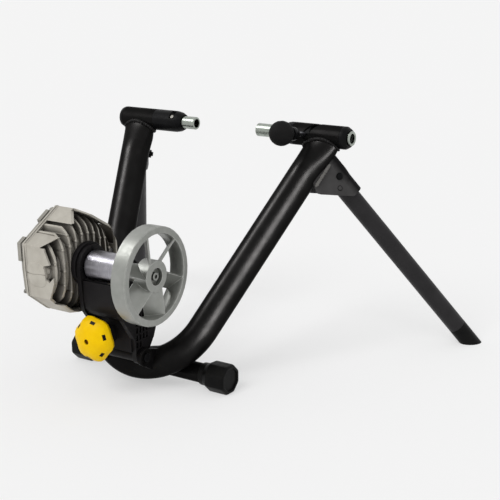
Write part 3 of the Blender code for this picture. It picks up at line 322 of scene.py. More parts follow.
def casting(name, base, shade, dirt_and_shade, edge_highlight, roughness, metallic, specular, grain=620, depth=0.00018,
            edge_radius=0.0009, hollow=0.02, hollow_range=(0.75, 0.20)):
    """Die-cast metal: cloudy skin and pores; painted highlight on edges, painted shade with some dirt in corners."""
    n = Nodes(name)
    soft, edge = n.round_edges(edge_radius)
    clouds = n.mix(n.ramp(n.noise(38, 5.0, 0.65), 0.32, 0.68), base, shade)
    # Painted highlight: edges turn paler in ragged patches.
    bright = n.mix(n.math("MULTIPLY", edge, n.ramp(n.noise(160, 3.0), 0.3, 0.6, 0.35, 1.0)), clouds, edge_highlight)
    # Painted shade with some dirt: corners and deep places turn darker.
    n.set(Base_Color=n.mix(n.math("MULTIPLY", n.hollows(hollow, *hollow_range), 0.82), bright, dirt_and_shade))
    n.set(Roughness=n.spread(n.noise(120, 4.0), roughness - 0.07, roughness + 0.07))
    n.set(Metallic=metallic, Specular_IOR_Level=specular)
    pores = n.ramp(n.spots(grain * 0.35), 0.0, 0.25)
    height = n.math("ADD", n.noise(grain, 4.0, 0.65), n.math("MULTIPLY", pores, 0.35))
    n.set(Normal=n.bump(height, strength=0.5, distance=depth, normal=soft))
    return n.material


def turned_metal(name, base, shade, roughness, rings):
    """Metal turned about an axis along X: fine rings across it and cloudy polish."""
    n = Nodes(name)
    soft, _ = n.round_edges(0.0005)
    ring = n.noise(rings, 2.0, place=n.scaled((1.0, 0.004, 0.004)))
    clouds = n.noise(70, 5.0, 0.6)
    streaks = n.math("ADD", n.math("MULTIPLY", ring, 0.6), n.math("MULTIPLY", clouds, 0.4))
    n.set(Base_Color=n.mix(n.ramp(streaks, 0.38, 0.62), base, shade))
    n.set(Roughness=n.spread(clouds, roughness - 0.05, roughness + 0.07))
    n.set(Metallic=1.0, Anisotropic=0.5)
    n.set(Normal=n.bump(ring, strength=0.10, distance=0.00003, normal=soft))
    return n.material


def plated(name, base, shade, roughness, metallic=1.0, bore_shade=0.92):
    """Zinc or nickel plate with faint drawing lines and cloudy bloom; deep bores are painted darker, as painted
    shade.
    """
    n = Nodes(name)
    soft, _ = n.round_edges(0.0004)
    lines = n.noise(900, 2.0, place=n.scaled((0.03, 1.0, 1.0)))
    bloom = n.noise(90, 4.0, 0.6)
    skin = n.mix(n.ramp(bloom, 0.35, 0.65), base, shade)
    # Painted shade: deep bores turn nearly black.
    n.set(Base_Color=n.mix(n.math("MULTIPLY", n.hollows(0.012, 0.6, 0.1), bore_shade), skin, (0.004, 0.004, 0.004, 1)))
    haze = n.math("ADD", n.math("MULTIPLY", lines, 0.4), n.math("MULTIPLY", bloom, 0.6))
    n.set(Roughness=n.spread(haze, roughness - 0.06, roughness + 0.10))
    n.set(Metallic=metallic)
    n.set(Normal=n.bump(lines, strength=0.05, distance=0.00002, normal=soft))
    return n.material


def bracket_lit_and_shaded():
    """Grey on the cheeks as painted light, turning black round the back as painted shade, with paler edges."""
    n = Nodes("bracket_lit_and_shaded")
    soft, edge = n.round_edges(0.0006)
    x, y, z = n.axes()
    across = n.add("ShaderNodeCombineXYZ", {0: n.math("ABSOLUTE", x), 1: y, 2: z}).outputs[0]
    offset = n.vector("DOT_PRODUCT", n.vector("SUBTRACT", across, tuple(HINGE)), tuple(TO_FOOT))
    ragged = n.math("ADD", offset, n.spread(n.noise(90, 3.0), -0.0015, 0.0015))
    # Painted shade: the colour turns black round the back of the channel, away from the cheeks.
    round_back_shade = n.ramp(ragged, -0.0005, -0.0105)
    # Painted light: the grey of the cheeks, where they catch the light.
    grey = n.mix(n.ramp(n.noise(40, 4.0), 0.35, 0.65), colour(72, 71, 71), colour(64, 63, 63))
    tone = n.mix(round_back_shade, grey, colour(20, 19, 20))
    n.set(Base_Color=n.mix(n.math("MULTIPLY", edge, 0.3), tone, colour(104, 102, 100)))
    n.set(Roughness=n.spread(n.noise(60, 4.0), 0.42, 0.52), Specular_IOR_Level=0.06)
    n.set(Normal=n.bump(n.noise(1300, 2.0), strength=0.25, distance=0.00012, normal=soft))
    return n.material


POWDER_COAT = paint("powder_coat", colour(23.7, 23.2, 23.0), worn=colour(46, 44, 43), roughness=0.33, peel=1300,
                    specular=0.0, metallic=0.57, rim=0.5)
BRACKET_LIT_AND_SHADED = bracket_lit_and_shaded()
BLACK_PLASTIC = moulded("black_plastic", colour(13, 13, 14), colour(19, 19, 20), roughness=0.38, grain=2400,
                        specular=0.07)
RUBBER = moulded("black_rubber", colour(13, 13, 13), colour(20, 20, 19), roughness=0.42, grain=1500, specular=0.07)
SCREW_BLACK = paint("black_screw", colour(15, 15, 16), worn=colour(58, 57, 56), roughness=0.40, peel=1300,
                    specular=0.05, wear=0.5)
WELD_COAT = paint("weld_coat", colour(20, 19, 19), worn=colour(66, 64, 62), roughness=0.30, peel=700,
                  specular=0.12, wear=0.5)
# Painted highlight: the bracket's weld bead is pale grey, as if lit.
LIT_WELD_GREY = paint("lit_weld_grey", colour(100, 98, 96), worn=colour(132, 130, 128), roughness=0.42, peel=700,
                  specular=0.12, wear=0.6)
# Painted sheen: a paler copy of the black coat, standing in for the light on the legs.
LEG_SHEEN_COAT = paint("leg_sheen_coat", colour(38, 37, 38), worn=colour(60, 58, 58), roughness=0.38, peel=1300, specular=0.12)
ZINC = plated("zinc_plate", colour(166, 172, 164), colour(144, 150, 143), roughness=0.24)
SCREW_GREY = plated("grey_screw", colour(140, 138, 132), colour(112, 110, 105), roughness=0.40)
# Painted shade: a darker copy of the housing's aluminium for the cover, whose sides face away from the light.
COVER_SHADED_METAL = casting("cover_shaded_aluminium", colour(160, 157, 149), colour(144, 141, 133), dirt_and_shade=colour(46, 41, 37),
                      edge_highlight=colour(200, 197, 188), roughness=0.50, metallic=0.25, specular=0.25,
                      edge_radius=0.0012)
BRIGHT_STEEL = plated("bright_steel", colour(150, 150, 155), colour(120, 120, 126), roughness=0.30)
# Painted shade: aluminium painted dark for the far fin, in the shadow under the hood.
SHADED_METAL = casting("shaded_aluminium", colour(74, 70, 64), colour(62, 58, 53), dirt_and_shade=colour(30, 27, 24),
                       edge_highlight=colour(168, 162, 152), roughness=0.55, metallic=0.0, specular=0.15,
                       edge_radius=0.0012)
LINE_METAL = casting("line_aluminium", colour(118, 111, 101), colour(104, 97, 88), dirt_and_shade=colour(46, 41, 37),
                     edge_highlight=colour(150, 143, 133), roughness=0.55, metallic=0.0, specular=0.2)
BLACK_CASTING = casting("black_casting", colour(22, 21, 22), colour(28, 26, 27), dirt_and_shade=colour(8, 8, 8),
                        edge_highlight=colour(42, 41, 41), roughness=0.46, metallic=0.0, specular=0.10,
                        grain=520, depth=0.00030)
HOUSING_METAL = casting("housing_aluminium", colour(192, 188, 178), colour(176, 171, 161), dirt_and_shade=colour(46, 41, 37),
                        edge_highlight=colour(212, 207, 197), roughness=0.50, metallic=0.25, specular=0.25,
                        edge_radius=0.0012, hollow=0.034, hollow_range=(0.86, 0.36))
FLYWHEEL_METAL = casting("flywheel_metal", colour(160, 161, 157), colour(146, 148, 143), dirt_and_shade=colour(62, 63, 60),
                         edge_highlight=colour(244, 245, 241), roughness=0.38, metallic=0.75, specular=0.25,
                         grain=520, hollow_range=(0.50, 0.12))
FLYWHEEL_BOLT = plated("bolt_plate", colour(150, 151, 147), colour(126, 127, 124), roughness=0.34, bore_shade=0.35)
ROLLER_STEEL = turned_metal("roller_steel", colour(180, 179, 184), colour(136, 134, 142), roughness=0.30, rings=3200)
# Its slot colour is painted shade in the knob's slots and pole hole.
YELLOW = moulded("knob_yellow", colour(244, 201, 0), colour(237, 190, 0), roughness=0.44, grain=1800,
                 specular=0.10, edge_highlight=colour(252, 208, 14), slot_shade=colour(10, 8, 4))
BALL_PLASTIC = moulded("ball_plastic", colour(24, 24, 24), colour(30, 29, 29), roughness=0.62, grain=2400,
                       specular=0.04)
# Yellow plate; its orange-brown end also stands in for painted shade inside the knob's pole hole.
BRONZED = plated("yellow_plate", colour(196, 112, 14), colour(168, 90, 10), roughness=0.35, metallic=0.6)
LUG_PAINT = paint("lug_paint", colour(8, 7, 8), worn=colour(20, 19, 19), roughness=0.42, peel=1300,
                  specular=0.045, wear=0.1)

FINISHES = {
    POWDER_COAT: ["main_tube", "left_cross_tube", "right_cross_tube", "crossbar_tube"],
    LEG_SHEEN_COAT: ["left_leg_tube", "right_leg_tube"],
    LUG_PAINT: ["frame_lug"],
    BRACKET_LIT_AND_SHADED: ["left_leg_bracket", "right_leg_bracket", "left_leg_rivet", "right_leg_rivet"],
    RUBBER: ["left_bar_foot", "right_bar_foot", "left_leg_boot", "right_leg_boot"],
    BLACK_CASTING: ["yoke"],
    HOUSING_METAL: ["housing_body"],
    COVER_SHADED_METAL: ["housing_cover"],
    FLYWHEEL_METAL: ["flywheel"],
    ROLLER_STEEL: ["roller"],
    YELLOW: ["knob"],
    ZINC: ["left_tip", "right_tip_tube", "knob_washer"],
    SCREW_GREY: ["left_lock_screw"],
    BLACK_PLASTIC: ["left_nose", "right_nose", "lever_collar", "left_end_plug", "right_end_cap"],
    BALL_PLASTIC: ["lever_ball"],
    BRONZED: ["tension_bolt"],
    BRIGHT_STEEL: ["lever_rod"],
    FLYWHEEL_BOLT: ["flywheel_bolt"],
}


def smoothing_group():
    """Welds a CAD node's split corners, then shades it smooth except across sharp edges."""
    tree = bpy.data.node_groups.new("smooth_by_angle", "GeometryNodeTree")
    tree.interface.new_socket("Geometry", in_out="INPUT", socket_type="NodeSocketGeometry")
    tree.interface.new_socket("Geometry", in_out="OUTPUT", socket_type="NodeSocketGeometry")
    start, end = tree.nodes.new("NodeGroupInput"), tree.nodes.new("NodeGroupOutput")
    weld = tree.nodes.new("GeometryNodeMergeByDistance")
    weld.inputs["Distance"].default_value = WELD_DISTANCE
    faces = tree.nodes.new("GeometryNodeSetShadeSmooth")
    edges = tree.nodes.new("GeometryNodeSetShadeSmooth")
    edges.domain = "EDGE"
    edges.inputs["Shade Smooth"].default_value = False
    angle = tree.nodes.new("GeometryNodeInputMeshEdgeAngle")
    sharp = tree.nodes.new("FunctionNodeCompare")
    sharp.operation = "GREATER_THAN"
    sharp.inputs["B"].default_value = SHARP_ANGLE
    link = tree.links.new
    link(start.outputs[0], weld.inputs["Geometry"])
    link(weld.outputs[0], faces.inputs["Geometry"])
    link(faces.outputs[0], edges.inputs["Geometry"])
    link(angle.outputs["Unsigned Angle"], sharp.inputs["A"])
    link(sharp.outputs[0], edges.inputs["Selection"])
    link(edges.outputs[0], end.inputs[0])
    return tree


def small_part_finish(name):
    """The material of a CAD node that isn't in FINISHES: a bearing or bush, a cover screw, or another fastener."""
    if any(part in name for part in ("bearing", "shaft", "bush")):
        return BRIGHT_STEEL
    return SCREW_GREY if "cover_screw" in name else SCREW_BLACK


def dress_nodes():
    """Gives every CAD node its material and soft shading."""
    named = {name: material for material, names in FINISHES.items() for name in names}
    smoothing = smoothing_group()
    for name, node in NODES.items():
        node.data.materials.clear()
        node.data.materials.append(named.get(name) or small_part_finish(name))
        if "custom_normal" in node.data.attributes:
            node.data.attributes.remove(node.data.attributes["custom_normal"])
        node.modifiers.new("smoothing", "NODES").node_group = smoothing


# Shapes

def around(steps):
    """The angles of evenly spaced steps round a circle."""
    return [2 * math.pi * k / steps for k in range(steps)]


def spoke(first, second, turn):
    """A direction turned from the first one towards the second."""
    return first * math.cos(turn) + second * math.sin(turn)


def smooth_step(value):
    value = min(max(value, 0.0), 1.0)
    return value * value * (3 - 2 * value)


def signed_power(value, power):
    return math.copysign(abs(value) ** power, value)


def mirrored(point, sign):
    """A point of the right side, or with sign -1 its image on the left."""
    return Vector((point.x * sign, point.y, point.z))


def middle_of(points):
    return sum(points, Vector()) / len(points)


def world_points(node):
    return [node.matrix_world @ vertex.co for vertex in node.data.vertices]


def surface_of(name):
    node = NODES[name]
    return BVHTree.FromPolygons(world_points(node), [polygon.vertices[:] for polygon in node.data.polygons])


class Shape:
    """Vertices and faces of one piece, built from closed loops of points."""

    SMALLEST_RADIUS = 0.00002

    def __init__(self):
        self.points, self.faces = [], []

    def loops(self, rings, joined=False):
        """A skin through loops of equal length, closed at both ends or joined to itself."""
        first, count = len(self.points), len(rings[0])
        for ring in rings:
            self.points.extend(ring)
        for i in range(len(rings) if joined else len(rings) - 1):
            a, b = first + i * count, first + (i + 1) % len(rings) * count
            for j in range(count):
                k = (j + 1) % count
                self.faces.append((a + j, a + k, b + k, b + j))
        if not joined:
            last = first + (len(rings) - 1) * count
            self.faces.append(tuple(first + j for j in reversed(range(count))))
            self.faces.append(tuple(last + j for j in range(count)))

    def tube(self, line, size, sides, joined=False):
        """A round tube along a line, its radius a function of the point's number."""
        rings = []
        side = None
        for i, point in enumerate(line):
            before = line[i - 1] if (i or joined) else point
            after = line[(i + 1) % len(line)] if (i < len(line) - 1 or joined) else point
            along = (after - before).normalized()
            side = along.orthogonal() if side is None else side
            side = (side - along * side.dot(along)).normalized()
            other = along.cross(side)
            rings.append([point + spoke(side, other, t) * size(i) for t in around(sides)])
        self.loops(rings, joined)

    def turned(self, profile, origin, axis, sides):
        """A solid of revolution from (radius, distance along the axis) pairs."""
        side = axis.orthogonal().normalized()
        other = axis.cross(side)
        self.loops([[origin + axis * along + spoke(side, other, t) * max(radius, self.SMALLEST_RADIUS)
                     for t in around(sides)] for radius, along in profile])

    def hoop(self, profile, origin, sides, sign=1):
        """A ring about X from a closed profile of (radius, distance along X) pairs; sign -1 mirrors it."""
        self.loops([[origin + Vector((sign * along, radius * math.cos(t), radius * math.sin(t)))
                     for t in around(sides)] for radius, along in profile], joined=True)

    def piece(self, name, material, body, angle=40):
        """The finished mesh as an object on a body, smooth except at edges sharper than the angle."""
        mesh = bpy.data.meshes.new(name)
        mesh.from_pydata(self.points, [], self.faces)
        work = bmesh.new()
        work.from_mesh(mesh)
        bmesh.ops.recalc_face_normals(work, faces=work.faces)
        work.to_mesh(mesh)
        work.free()
        mesh.materials.append(material)
        mesh.shade_smooth()
        mesh.set_sharp_from_angle(angle=math.radians(angle))
        item = bpy.data.objects.new(name, mesh)
        bpy.context.scene.collection.objects.link(item)
        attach(item, body)
        return item


# Pieces built over or instead of the CAD nodes

class Upright:
    """One upright near its top: squeezed flat in front, where it meets the cross tube.

    FRONT, BACK and WIDE are its half widths at the very top, and at REACH below the axle it is round.
    """

    FRONT, BACK, WIDE, REACH = 0.0145, 0.0186, 0.0300, 0.080
    CLEARANCE = 0.0003

    def __init__(self, sign):
        angle = sign * BEND_HALF_ANGLE
        self.down = (ALONG_X * -sign * UPRIGHT_SPLAY - TUBE_UP) / SLANT
        self.across = TUBE_UP * math.cos(angle) - ALONG_X * math.sin(angle)
        self.start = AXLE + ALONG_X * sign * UPRIGHT_HALF_SPAN

    def section(self, turn, share, scale):
        """A point of the section beside the centreline; share runs from 0 at the end to 1 where it is round."""
        end = self.FRONT if math.sin(turn) > 0 else self.BACK
        reach = share if math.sin(turn) > 0 else share * 3
        depth = end + (MAIN_TUBE_RADIUS - end) * smooth_step(reach)
        wide = self.WIDE + (MAIN_TUBE_RADIUS - self.WIDE) * smooth_step(share)
        return (self.across * math.cos(turn) * wide + TUBE_FRONT * math.sin(turn) * depth) * scale

    def meeting(self, turn, scale):
        """How far down from the axle the tube's wall meets the cross tube."""
        spot = self.section(turn, 0.0, scale)
        reach = CROSS_RADIUS + self.CLEARANCE
        target = -math.sqrt(max(reach * reach - spot.dot(TUBE_FRONT) ** 2, 0.0))
        return (spot.dot(TUBE_UP) - target) / -self.down.dot(TUBE_UP)

    def ring(self, turns, share, scale=1.0):
        """A loop of the wall; share runs from 0 at the cross tube to 1 at the round tube below."""
        points = []
        for turn in turns:
            along = self.meeting(turn, scale)
            along += (self.REACH - along) * share
            points.append(self.start + self.section(turn, share, scale) + self.down * along)
        return points


def bend_at(angle):
    """The centre of the frame tube's bend at an angle from its lowest point, and the direction across it there."""
    centre = AXLE + ALONG_X * BEND_RADIUS * math.sin(angle) - TUBE_UP * (BEND_DOWN + BEND_RADIUS * math.cos(angle))
    return centre, TUBE_UP * math.cos(angle) - ALONG_X * math.sin(angle)


def add_frame_tube():
    """The bent frame tube, with its tops squeezed against the cross tubes."""
    turns = around(40)
    top_steps, bend_steps = 14, 36
    ends = []
    for sign, _ in SIDES:
        upright = Upright(sign)
        caps = [upright.ring(turns, 0.0, scale) for scale in (0.1, 0.35, 0.7, 0.97)]
        ends.append(caps + [upright.ring(turns, i / top_steps) for i in range(top_steps + 1)])
    bend = []
    for i in range(2 * bend_steps + 1):
        centre, across = bend_at(BEND_HALF_ANGLE * (i / bend_steps - 1))
        bend.append([centre + spoke(across, TUBE_FRONT, t) * MAIN_TUBE_RADIUS for t in turns])
    shape = Shape()
    shape.loops(ends[0] + bend + ends[1][::-1])
    tube = shape.piece("frame_tube", POWDER_COAT, "frame", 50)
    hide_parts("main_tube")


def bumpy(seed, radius):
    """The radius of a hand-laid weld bead, ripple after ripple."""
    spread = random.Random(seed)
    ripples = [radius * spread.uniform(0.84, 1.14) for _ in range(400)]
    return lambda i: ripples[i % len(ripples)] * (1.0 + 0.14 * math.sin(i * 1.5))


def add_weld_beads():
    """The beads round the frame tube's tops, which are thinner on their outboard side."""
    for sign, side in SIDES:
        upright = Upright(sign)
        line = []
        for turn in around(150):
            point = upright.start + upright.section(turn, 0.0, TOP_BEAD_SCALE)
            point += upright.down * (upright.meeting(turn, TOP_BEAD_SCALE) + TOP_BEAD_DROP)
            line.append(point)
        shape = Shape()
        size = bumpy(7 + sign, TOP_BEAD_RADIUS)
        thin = [TOP_BEAD_THINNING * smooth_step((point - upright.start).x * sign / TOP_BEAD_THINNED_AT)
                for point in line]
        shape.tube(line, lambda i: size(i) * (1.0 - thin[i]), 12, joined=True)
        shape.piece(side + "_top_weld", WELD_COAT, "frame", 60)


def add_pips():
    """Ejector bosses of the casting: a rib along the fin that ends in a small round pip at its edge."""
    casting_surface = surface_of("housing_body")
    shape = Shape()
    for fin, height in PIPS:
        y = ROTOR.y + (fin - MIDDLE_FIN) * FIN_PITCH
        hit = casting_surface.ray_cast(Vector((FIN_RAY_X, y, height)), -ALONG_X)[0]
        edge = min(hit.x, PIP_LIMIT_X)
        profile = [(PIP_RADIUS, FIN_ROOT_X), (PIP_RADIUS, edge - 0.0022), (PIP_RADIUS * 1.2, edge - 0.0014),
                   (PIP_RADIUS * 1.25, edge), (PIP_RADIUS * 0.9, edge + 0.0010), (0, edge + 0.0014)]
        shape.turned(profile, Vector((0, y, height)), ALONG_X, 12)
    shape.piece("casting_pips", HOUSING_METAL, "unit")


def front_of(hood, x, z, lift, limit):
    """The Y of a point a little proud of the hood's outer face, held short of the limit."""
    hit = hood.ray_cast(Vector((x, HOOD_RAY_Y, z)), Vector((0, 1, 0)))[0]
    return max(hit.y - lift, limit)


def add_hood_bulge():
    """A shallow D-shaped swelling on the hood's outer face."""
    hood = surface_of("housing_body")
    rings = []
    for scale, lift in SWELLING_STEPS:
        ring = []
        for turn in around(48):
            squareness = 0.75 if math.cos(turn) > 0 else 0.35
            x = SWELLING_MIDDLE[0] + SWELLING_HALF[0] * signed_power(math.cos(turn), squareness) * scale
            z = SWELLING_MIDDLE[1] + SWELLING_HALF[1] * signed_power(math.sin(turn), 0.7) * scale
            ring.append(Vector((x, front_of(hood, x, z, lift, SWELLING_LIMIT_Y), z)))
        rings.append(ring)
    shape = Shape()
    shape.loops(rings)
    shape.piece("hood_swelling", HOUSING_METAL, "unit", 60)


def add_witness_line():
    """The die's mid line across the swelling, a hair proud of it."""
    hood = surface_of("housing_body")
    steps = 23
    line = []
    for i in range(steps + 1):
        x = WITNESS_START_X + WITNESS_LENGTH * i / steps
        y = front_of(hood, x, WITNESS_HEIGHT, WITNESS_LIFT, WITNESS_LIMIT_Y)
        line.append(Vector((x, y, WITNESS_HEIGHT - 0.0008 * math.sin(i / 4))))
    shape = Shape()
    shape.tube(line, lambda i: 0.00045, 6)
    shape.piece("witness_line", LINE_METAL, "unit")


def belt(first, first_radius, second, second_radius):
    """The outline of a belt stretched round two circles in the YZ plane."""
    steps = 12
    heading = math.atan2(second[1] - first[1], second[0] - first[0])
    lean = math.acos((first_radius - second_radius) / math.dist(first, second))
    outline = []
    for centre, radius, start, sweep in ((first, first_radius, heading + lean, 2 * math.pi - 2 * lean),
                                         (second, second_radius, heading - lean, 2 * lean)):
        for k in range(steps + 1):
            turn = start + sweep * k / steps
            outline.append((centre[0] + radius * math.cos(turn), centre[1] + radius * math.sin(turn)))
    return outline


def add_plate(shape, outline, low, high):
    """A plate across X with softened edges."""
    chamfer = 0.0008
    middle = [sum(values) / len(outline) for values in zip(*outline)]
    rings = []
    for x, inset in ((low, chamfer), (low + chamfer, 0.0), (high - chamfer, 0.0), (high, chamfer)):
        ring = []
        for point in outline:
            away = Vector((point[0] - middle[0], point[1] - middle[1]))
            away = away.normalized() * (away.length - inset)
            ring.append(Vector((x, middle[0] + away.x, middle[1] + away.y)))
        rings.append(ring)
    shape.loops(rings)


def add_lug():
    """The unit's two ears, the anchor's two cheeks, and a saddle that thins out into the bend."""
    shape = Shape()
    ear = belt(PIVOT, 0.0140, EAR_ROOT, 0.0190)
    cheek = belt(ANCHOR, 0.0090, CHEEK_ROOT, 0.0140)
    for low, high in UNIT_EARS:
        add_plate(shape, ear, low, high)
    for low, high in ANCHOR_CHEEKS:
        add_plate(shape, cheek, low, high)
    half, steps = 20, 14
    turns = [math.radians(10 + 70 * k / steps) for k in range(steps + 1)]
    rings = []
    for i in range(2 * half + 1):
        centre, across = bend_at(SADDLE_HALF_ANGLE * (i / half - 1))
        lift = SADDLE_LIFT * smooth_step((half - abs(i - half)) / 9)
        outer = []
        for k, turn in enumerate(turns):
            swell = lift * smooth_step((1 - abs(2 * k / steps - 1)) * 2.2)
            outer.append(centre + spoke(across, TUBE_FRONT, turn) * (MAIN_TUBE_RADIUS - SADDLE_SINK + swell))
        inner = [centre + spoke(across, TUBE_FRONT, turn) * (MAIN_TUBE_RADIUS - SADDLE_DEPTH) for turn in turns]
        rings.append(outer + inner[::-1])
    shape.loops(rings)
    lug = shape.piece("unit_lug", LUG_PAINT, "frame", 40)
    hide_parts("frame_lug")


def add_pivot_washer():
    """The thick black disc round the pivot bolt's head, and its twin on the far ear."""
    profile = [(0.0078, 0.0), (0.0146, 0.0), (0.0150, 0.0006), (0.0150, 0.0026), (0.0140, 0.0036),
               (0.0100, 0.0037), (0.0084, 0.0030), (0.0078, 0.0028)]
    for sign, start, side in ((1, 0.0486, "right"), (-1, -0.0496, "left")):
        shape = Shape()
        shape.hoop(profile, Vector((start, *PIVOT)), 36, sign)
        shape.piece(side + "_pivot_washer", POWDER_COAT, "frame", 30)


def add_lever_neck():
    """The socket that joins the ball to its rod."""
    rod = world_points(NODES["lever_rod"])
    foot = middle_of([point for point in rod if point.y > 0.07])
    tip = middle_of([point for point in rod if point.y < 0.04])
    profile = [(0.0, -0.004), (0.0112, -0.004), (0.0116, 0.0), (0.0112, 0.0060), (0.0098, 0.0085),
               (0.0090, 0.0092), (0.0, 0.0092)]
    shape = Shape()
    shape.turned(profile, tip, (foot - tip).normalized(), 28)
    shape.piece("lever_neck", BLACK_PLASTIC, "clamp_lever", 35)


def outline_at(name, x):
    """The outer outline of a CAD node where a plane across X cuts it, as an ordered loop."""
    node = NODES[name]
    work = bmesh.new()
    work.from_mesh(node.data)
    work.transform(node.matrix_world)
    bmesh.ops.remove_doubles(work, verts=work.verts, dist=WELD_DISTANCE)
    cut = bmesh.ops.bisect_plane(work, geom=work.verts[:] + work.edges[:] + work.faces[:], dist=0.000001,
                                 plane_co=(x, 0, 0), plane_no=(1, 0, 0))["geom_cut"]
    links = {}
    for edge in (piece for piece in cut if isinstance(piece, bmesh.types.BMEdge)):
        a, b = edge.verts
        links.setdefault(a, []).append(b)
        links.setdefault(b, []).append(a)
    loops = []
    seen = set()
    for start in links:
        if start in seen:
            continue
        loop, here, last = [], start, None
        while here is not None and here not in seen:
            seen.add(here)
            loop.append(here.co.copy())
            step = [v for v in links[here] if v is not last and v not in seen]
            last, here = here, (step[0] if step else None)
        loops.append(loop)
    work.free()
    return max(loops, key=lambda loop: max(p.y for p in loop) - min(p.y for p in loop))


def evenly(loop, step):
    """The same closed loop with points at equal steps."""
    points = []
    carry = 0.0
    for a, b in zip(loop, loop[1:] + loop[:1]):
        length = (b - a).length
        while carry < length:
            points.append(a.lerp(b, carry / length))
            carry += step
        carry -= length
    return points


def inside(loop):
    """The loop held within the casting's own reach, so that a bead along it adds nothing to the size."""
    return [Vector((p.x, max(p.y, CAD_LOW.y + SEAM_OFFSET), p.z)) for p in loop]


def add_seam():
    """The joint between cover and casting: a thin raised lip with a dark gasket line beside it."""
    for name, material, x, radius in (("housing_lip", HOUSING_METAL, SEAM_X + SEAM_OFFSET, 0.0007),
                                      ("seam_line", BLACK_PLASTIC, SEAM_X - SEAM_OFFSET, 0.0005)):
        shape = Shape()
        shape.tube(inside(evenly(outline_at("housing_body", x), SEAM_STEP)), lambda i: radius, 8, joined=True)
        shape.piece(name, material, "unit", 60)


def add_boss_sleeve():
    """A black skirt over the casting's boss from the fins on to the unit's flange: painted shade where the boss lies
    in shadow.
    """
    profile = [(0.0346, -0.0484), (0.0351, -0.0484), (0.0356, -0.0479), (0.0356, -0.0406), (0.0351, -0.0401),
               (0.0305, -0.0401), (0.0305, -0.0403), (0.0346, -0.0403)]
    shape = Shape()
    shape.hoop(profile, ROTOR, 72)
    shape.piece("boss_sleeve", BLACK_CASTING, "unit", 40)


def add_far_fin():
    """The casting's last fin, which closes its corner under the hood's far end; its dark colour is painted shade."""
    outline = [(-0.1020, 0.2160), (-0.1020, 0.2512), (-0.0650, 0.2518), (-0.0595, 0.2505), (-0.0575, 0.2460),
               (-0.0562, 0.2390), (-0.0556, 0.2300), (-0.0556, 0.2160)]
    shape = Shape()
    shape.loops([[Vector((x - inset if x > -0.1 else x, y, z)) for x, z in outline]
                 for y, inset in ((-0.1628, 0.0004), (-0.1624, 0.0), (-0.1614, 0.0), (-0.1610, 0.0004))])
    shape.piece("far_fin", SHADED_METAL, "unit")


def add_knob_slots():
    """The dark insides of the slots in the knob's valleys, as painted shade."""
    middle = Vector((ANCHOR_X, KNOB_FACE_Y, ANCHOR[1]))
    up, side, out = Vector((0, 0, 1)), Vector((-1, 0, 0)), Vector((0, -1, 0))
    near, far, half = 0.0272, 0.0313, 0.0047
    floor = [(near, -half, 0.0066), (far, -half, 0.0066), (far, half, 0.0066), (near, half, 0.0066)]
    top = [(near, -half, 0.0112), (far, -half, 0.0078), (far, half, 0.0078), (near, half, 0.0112)]
    shape = Shape()
    for i in range(6):
        turn = math.radians(-11 + 60 * i)
        radial, across = spoke(up, side, turn), spoke(side, -up, turn)
        shape.loops([[middle + radial * r + across * t + out * depth for r, t, depth in corners]
                     for corners in (floor, top)])
    shape.piece("knob_slots", BLACK_PLASTIC, "knob_body")


def foot_ring(x, radius, square):
    """A loop round the crossbar: round where square is 0, an octagon with soft corners where it is 1."""
    half_side = math.pi / 8
    ring = []
    for turn in around(48):
        sector = (turn + half_side) % (2 * half_side) - half_side
        flat = math.cos(half_side) / math.cos(sector) * 1.02
        size = radius * (1 + (min(flat, 1.0) - 1) * square)
        ring.append(BAR_PLACE + Vector((x, size * math.cos(turn), size * math.sin(turn))))
    return ring


def add_feet():
    """Moulded feet on the crossbar: a sleeve, a ramp and a soft octagon with a recessed end."""
    profile = [(FOOT_START + along, radius, square) for along, radius, square in (
        (0, 0.0166, 0), (0, 0.0178, 0), (0.0006, 0.0184, 0), (0.0090, 0.0188, 0.2), (0.0096, 0.0196, 0.4),
        (0.0180, 0.0244, 1.0), (0.0188, 0.0249, 1.0), (0.0200, 0.0250, 1.0))]
    profile += [(FOOT_END - back, radius, 1.0) for back, radius in (
        (0.0042, 0.0250), (0.0022, 0.0246), (0.0006, 0.0236), (0, 0.0224), (0, 0.0198), (0.0006, 0.0191),
        (0.0024, 0.0188), (0.0024, 0.0060))]
    for sign, side in SIDES:
        shape = Shape()
        shape.loops([foot_ring(sign * x, radius, square) for x, radius, square in profile])
        foot = shape.piece(side + "_foot", RUBBER, "frame", 22)
        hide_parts(side + "_bar_foot")


def add_tip_collar():
    """The plated ring that closes the clamping tube's outer end, just proud of its cap."""
    profile = [(0.0082, 0.0), (0.0104, 0.0), (0.0104, 0.0014), (0.0120, 0.0014), (0.0122, 0.0018), (0.0122, 0.0040),
               (0.0118, 0.0052), (0.0104, 0.0055), (0.0090, 0.0053), (0.0082, 0.0046)]
    shape = Shape()
    shape.hoop(profile, AXLE + ALONG_X * 0.2386, 40)
    shape.piece("tip_collar", ZINC, "right_tip_body", 40)


def back_line(half, corner):
    """From one cheek round the back to the other."""
    flat = half - corner
    turns = [math.pi * k / 16 for k in range(8)]
    quarter = [(-flat - corner * math.sin(t), flat + corner * math.cos(t)) for t in turns]
    return quarter + [(-half, 0.0)] + [(foot, -bolt) for foot, bolt in reversed(quarter)]


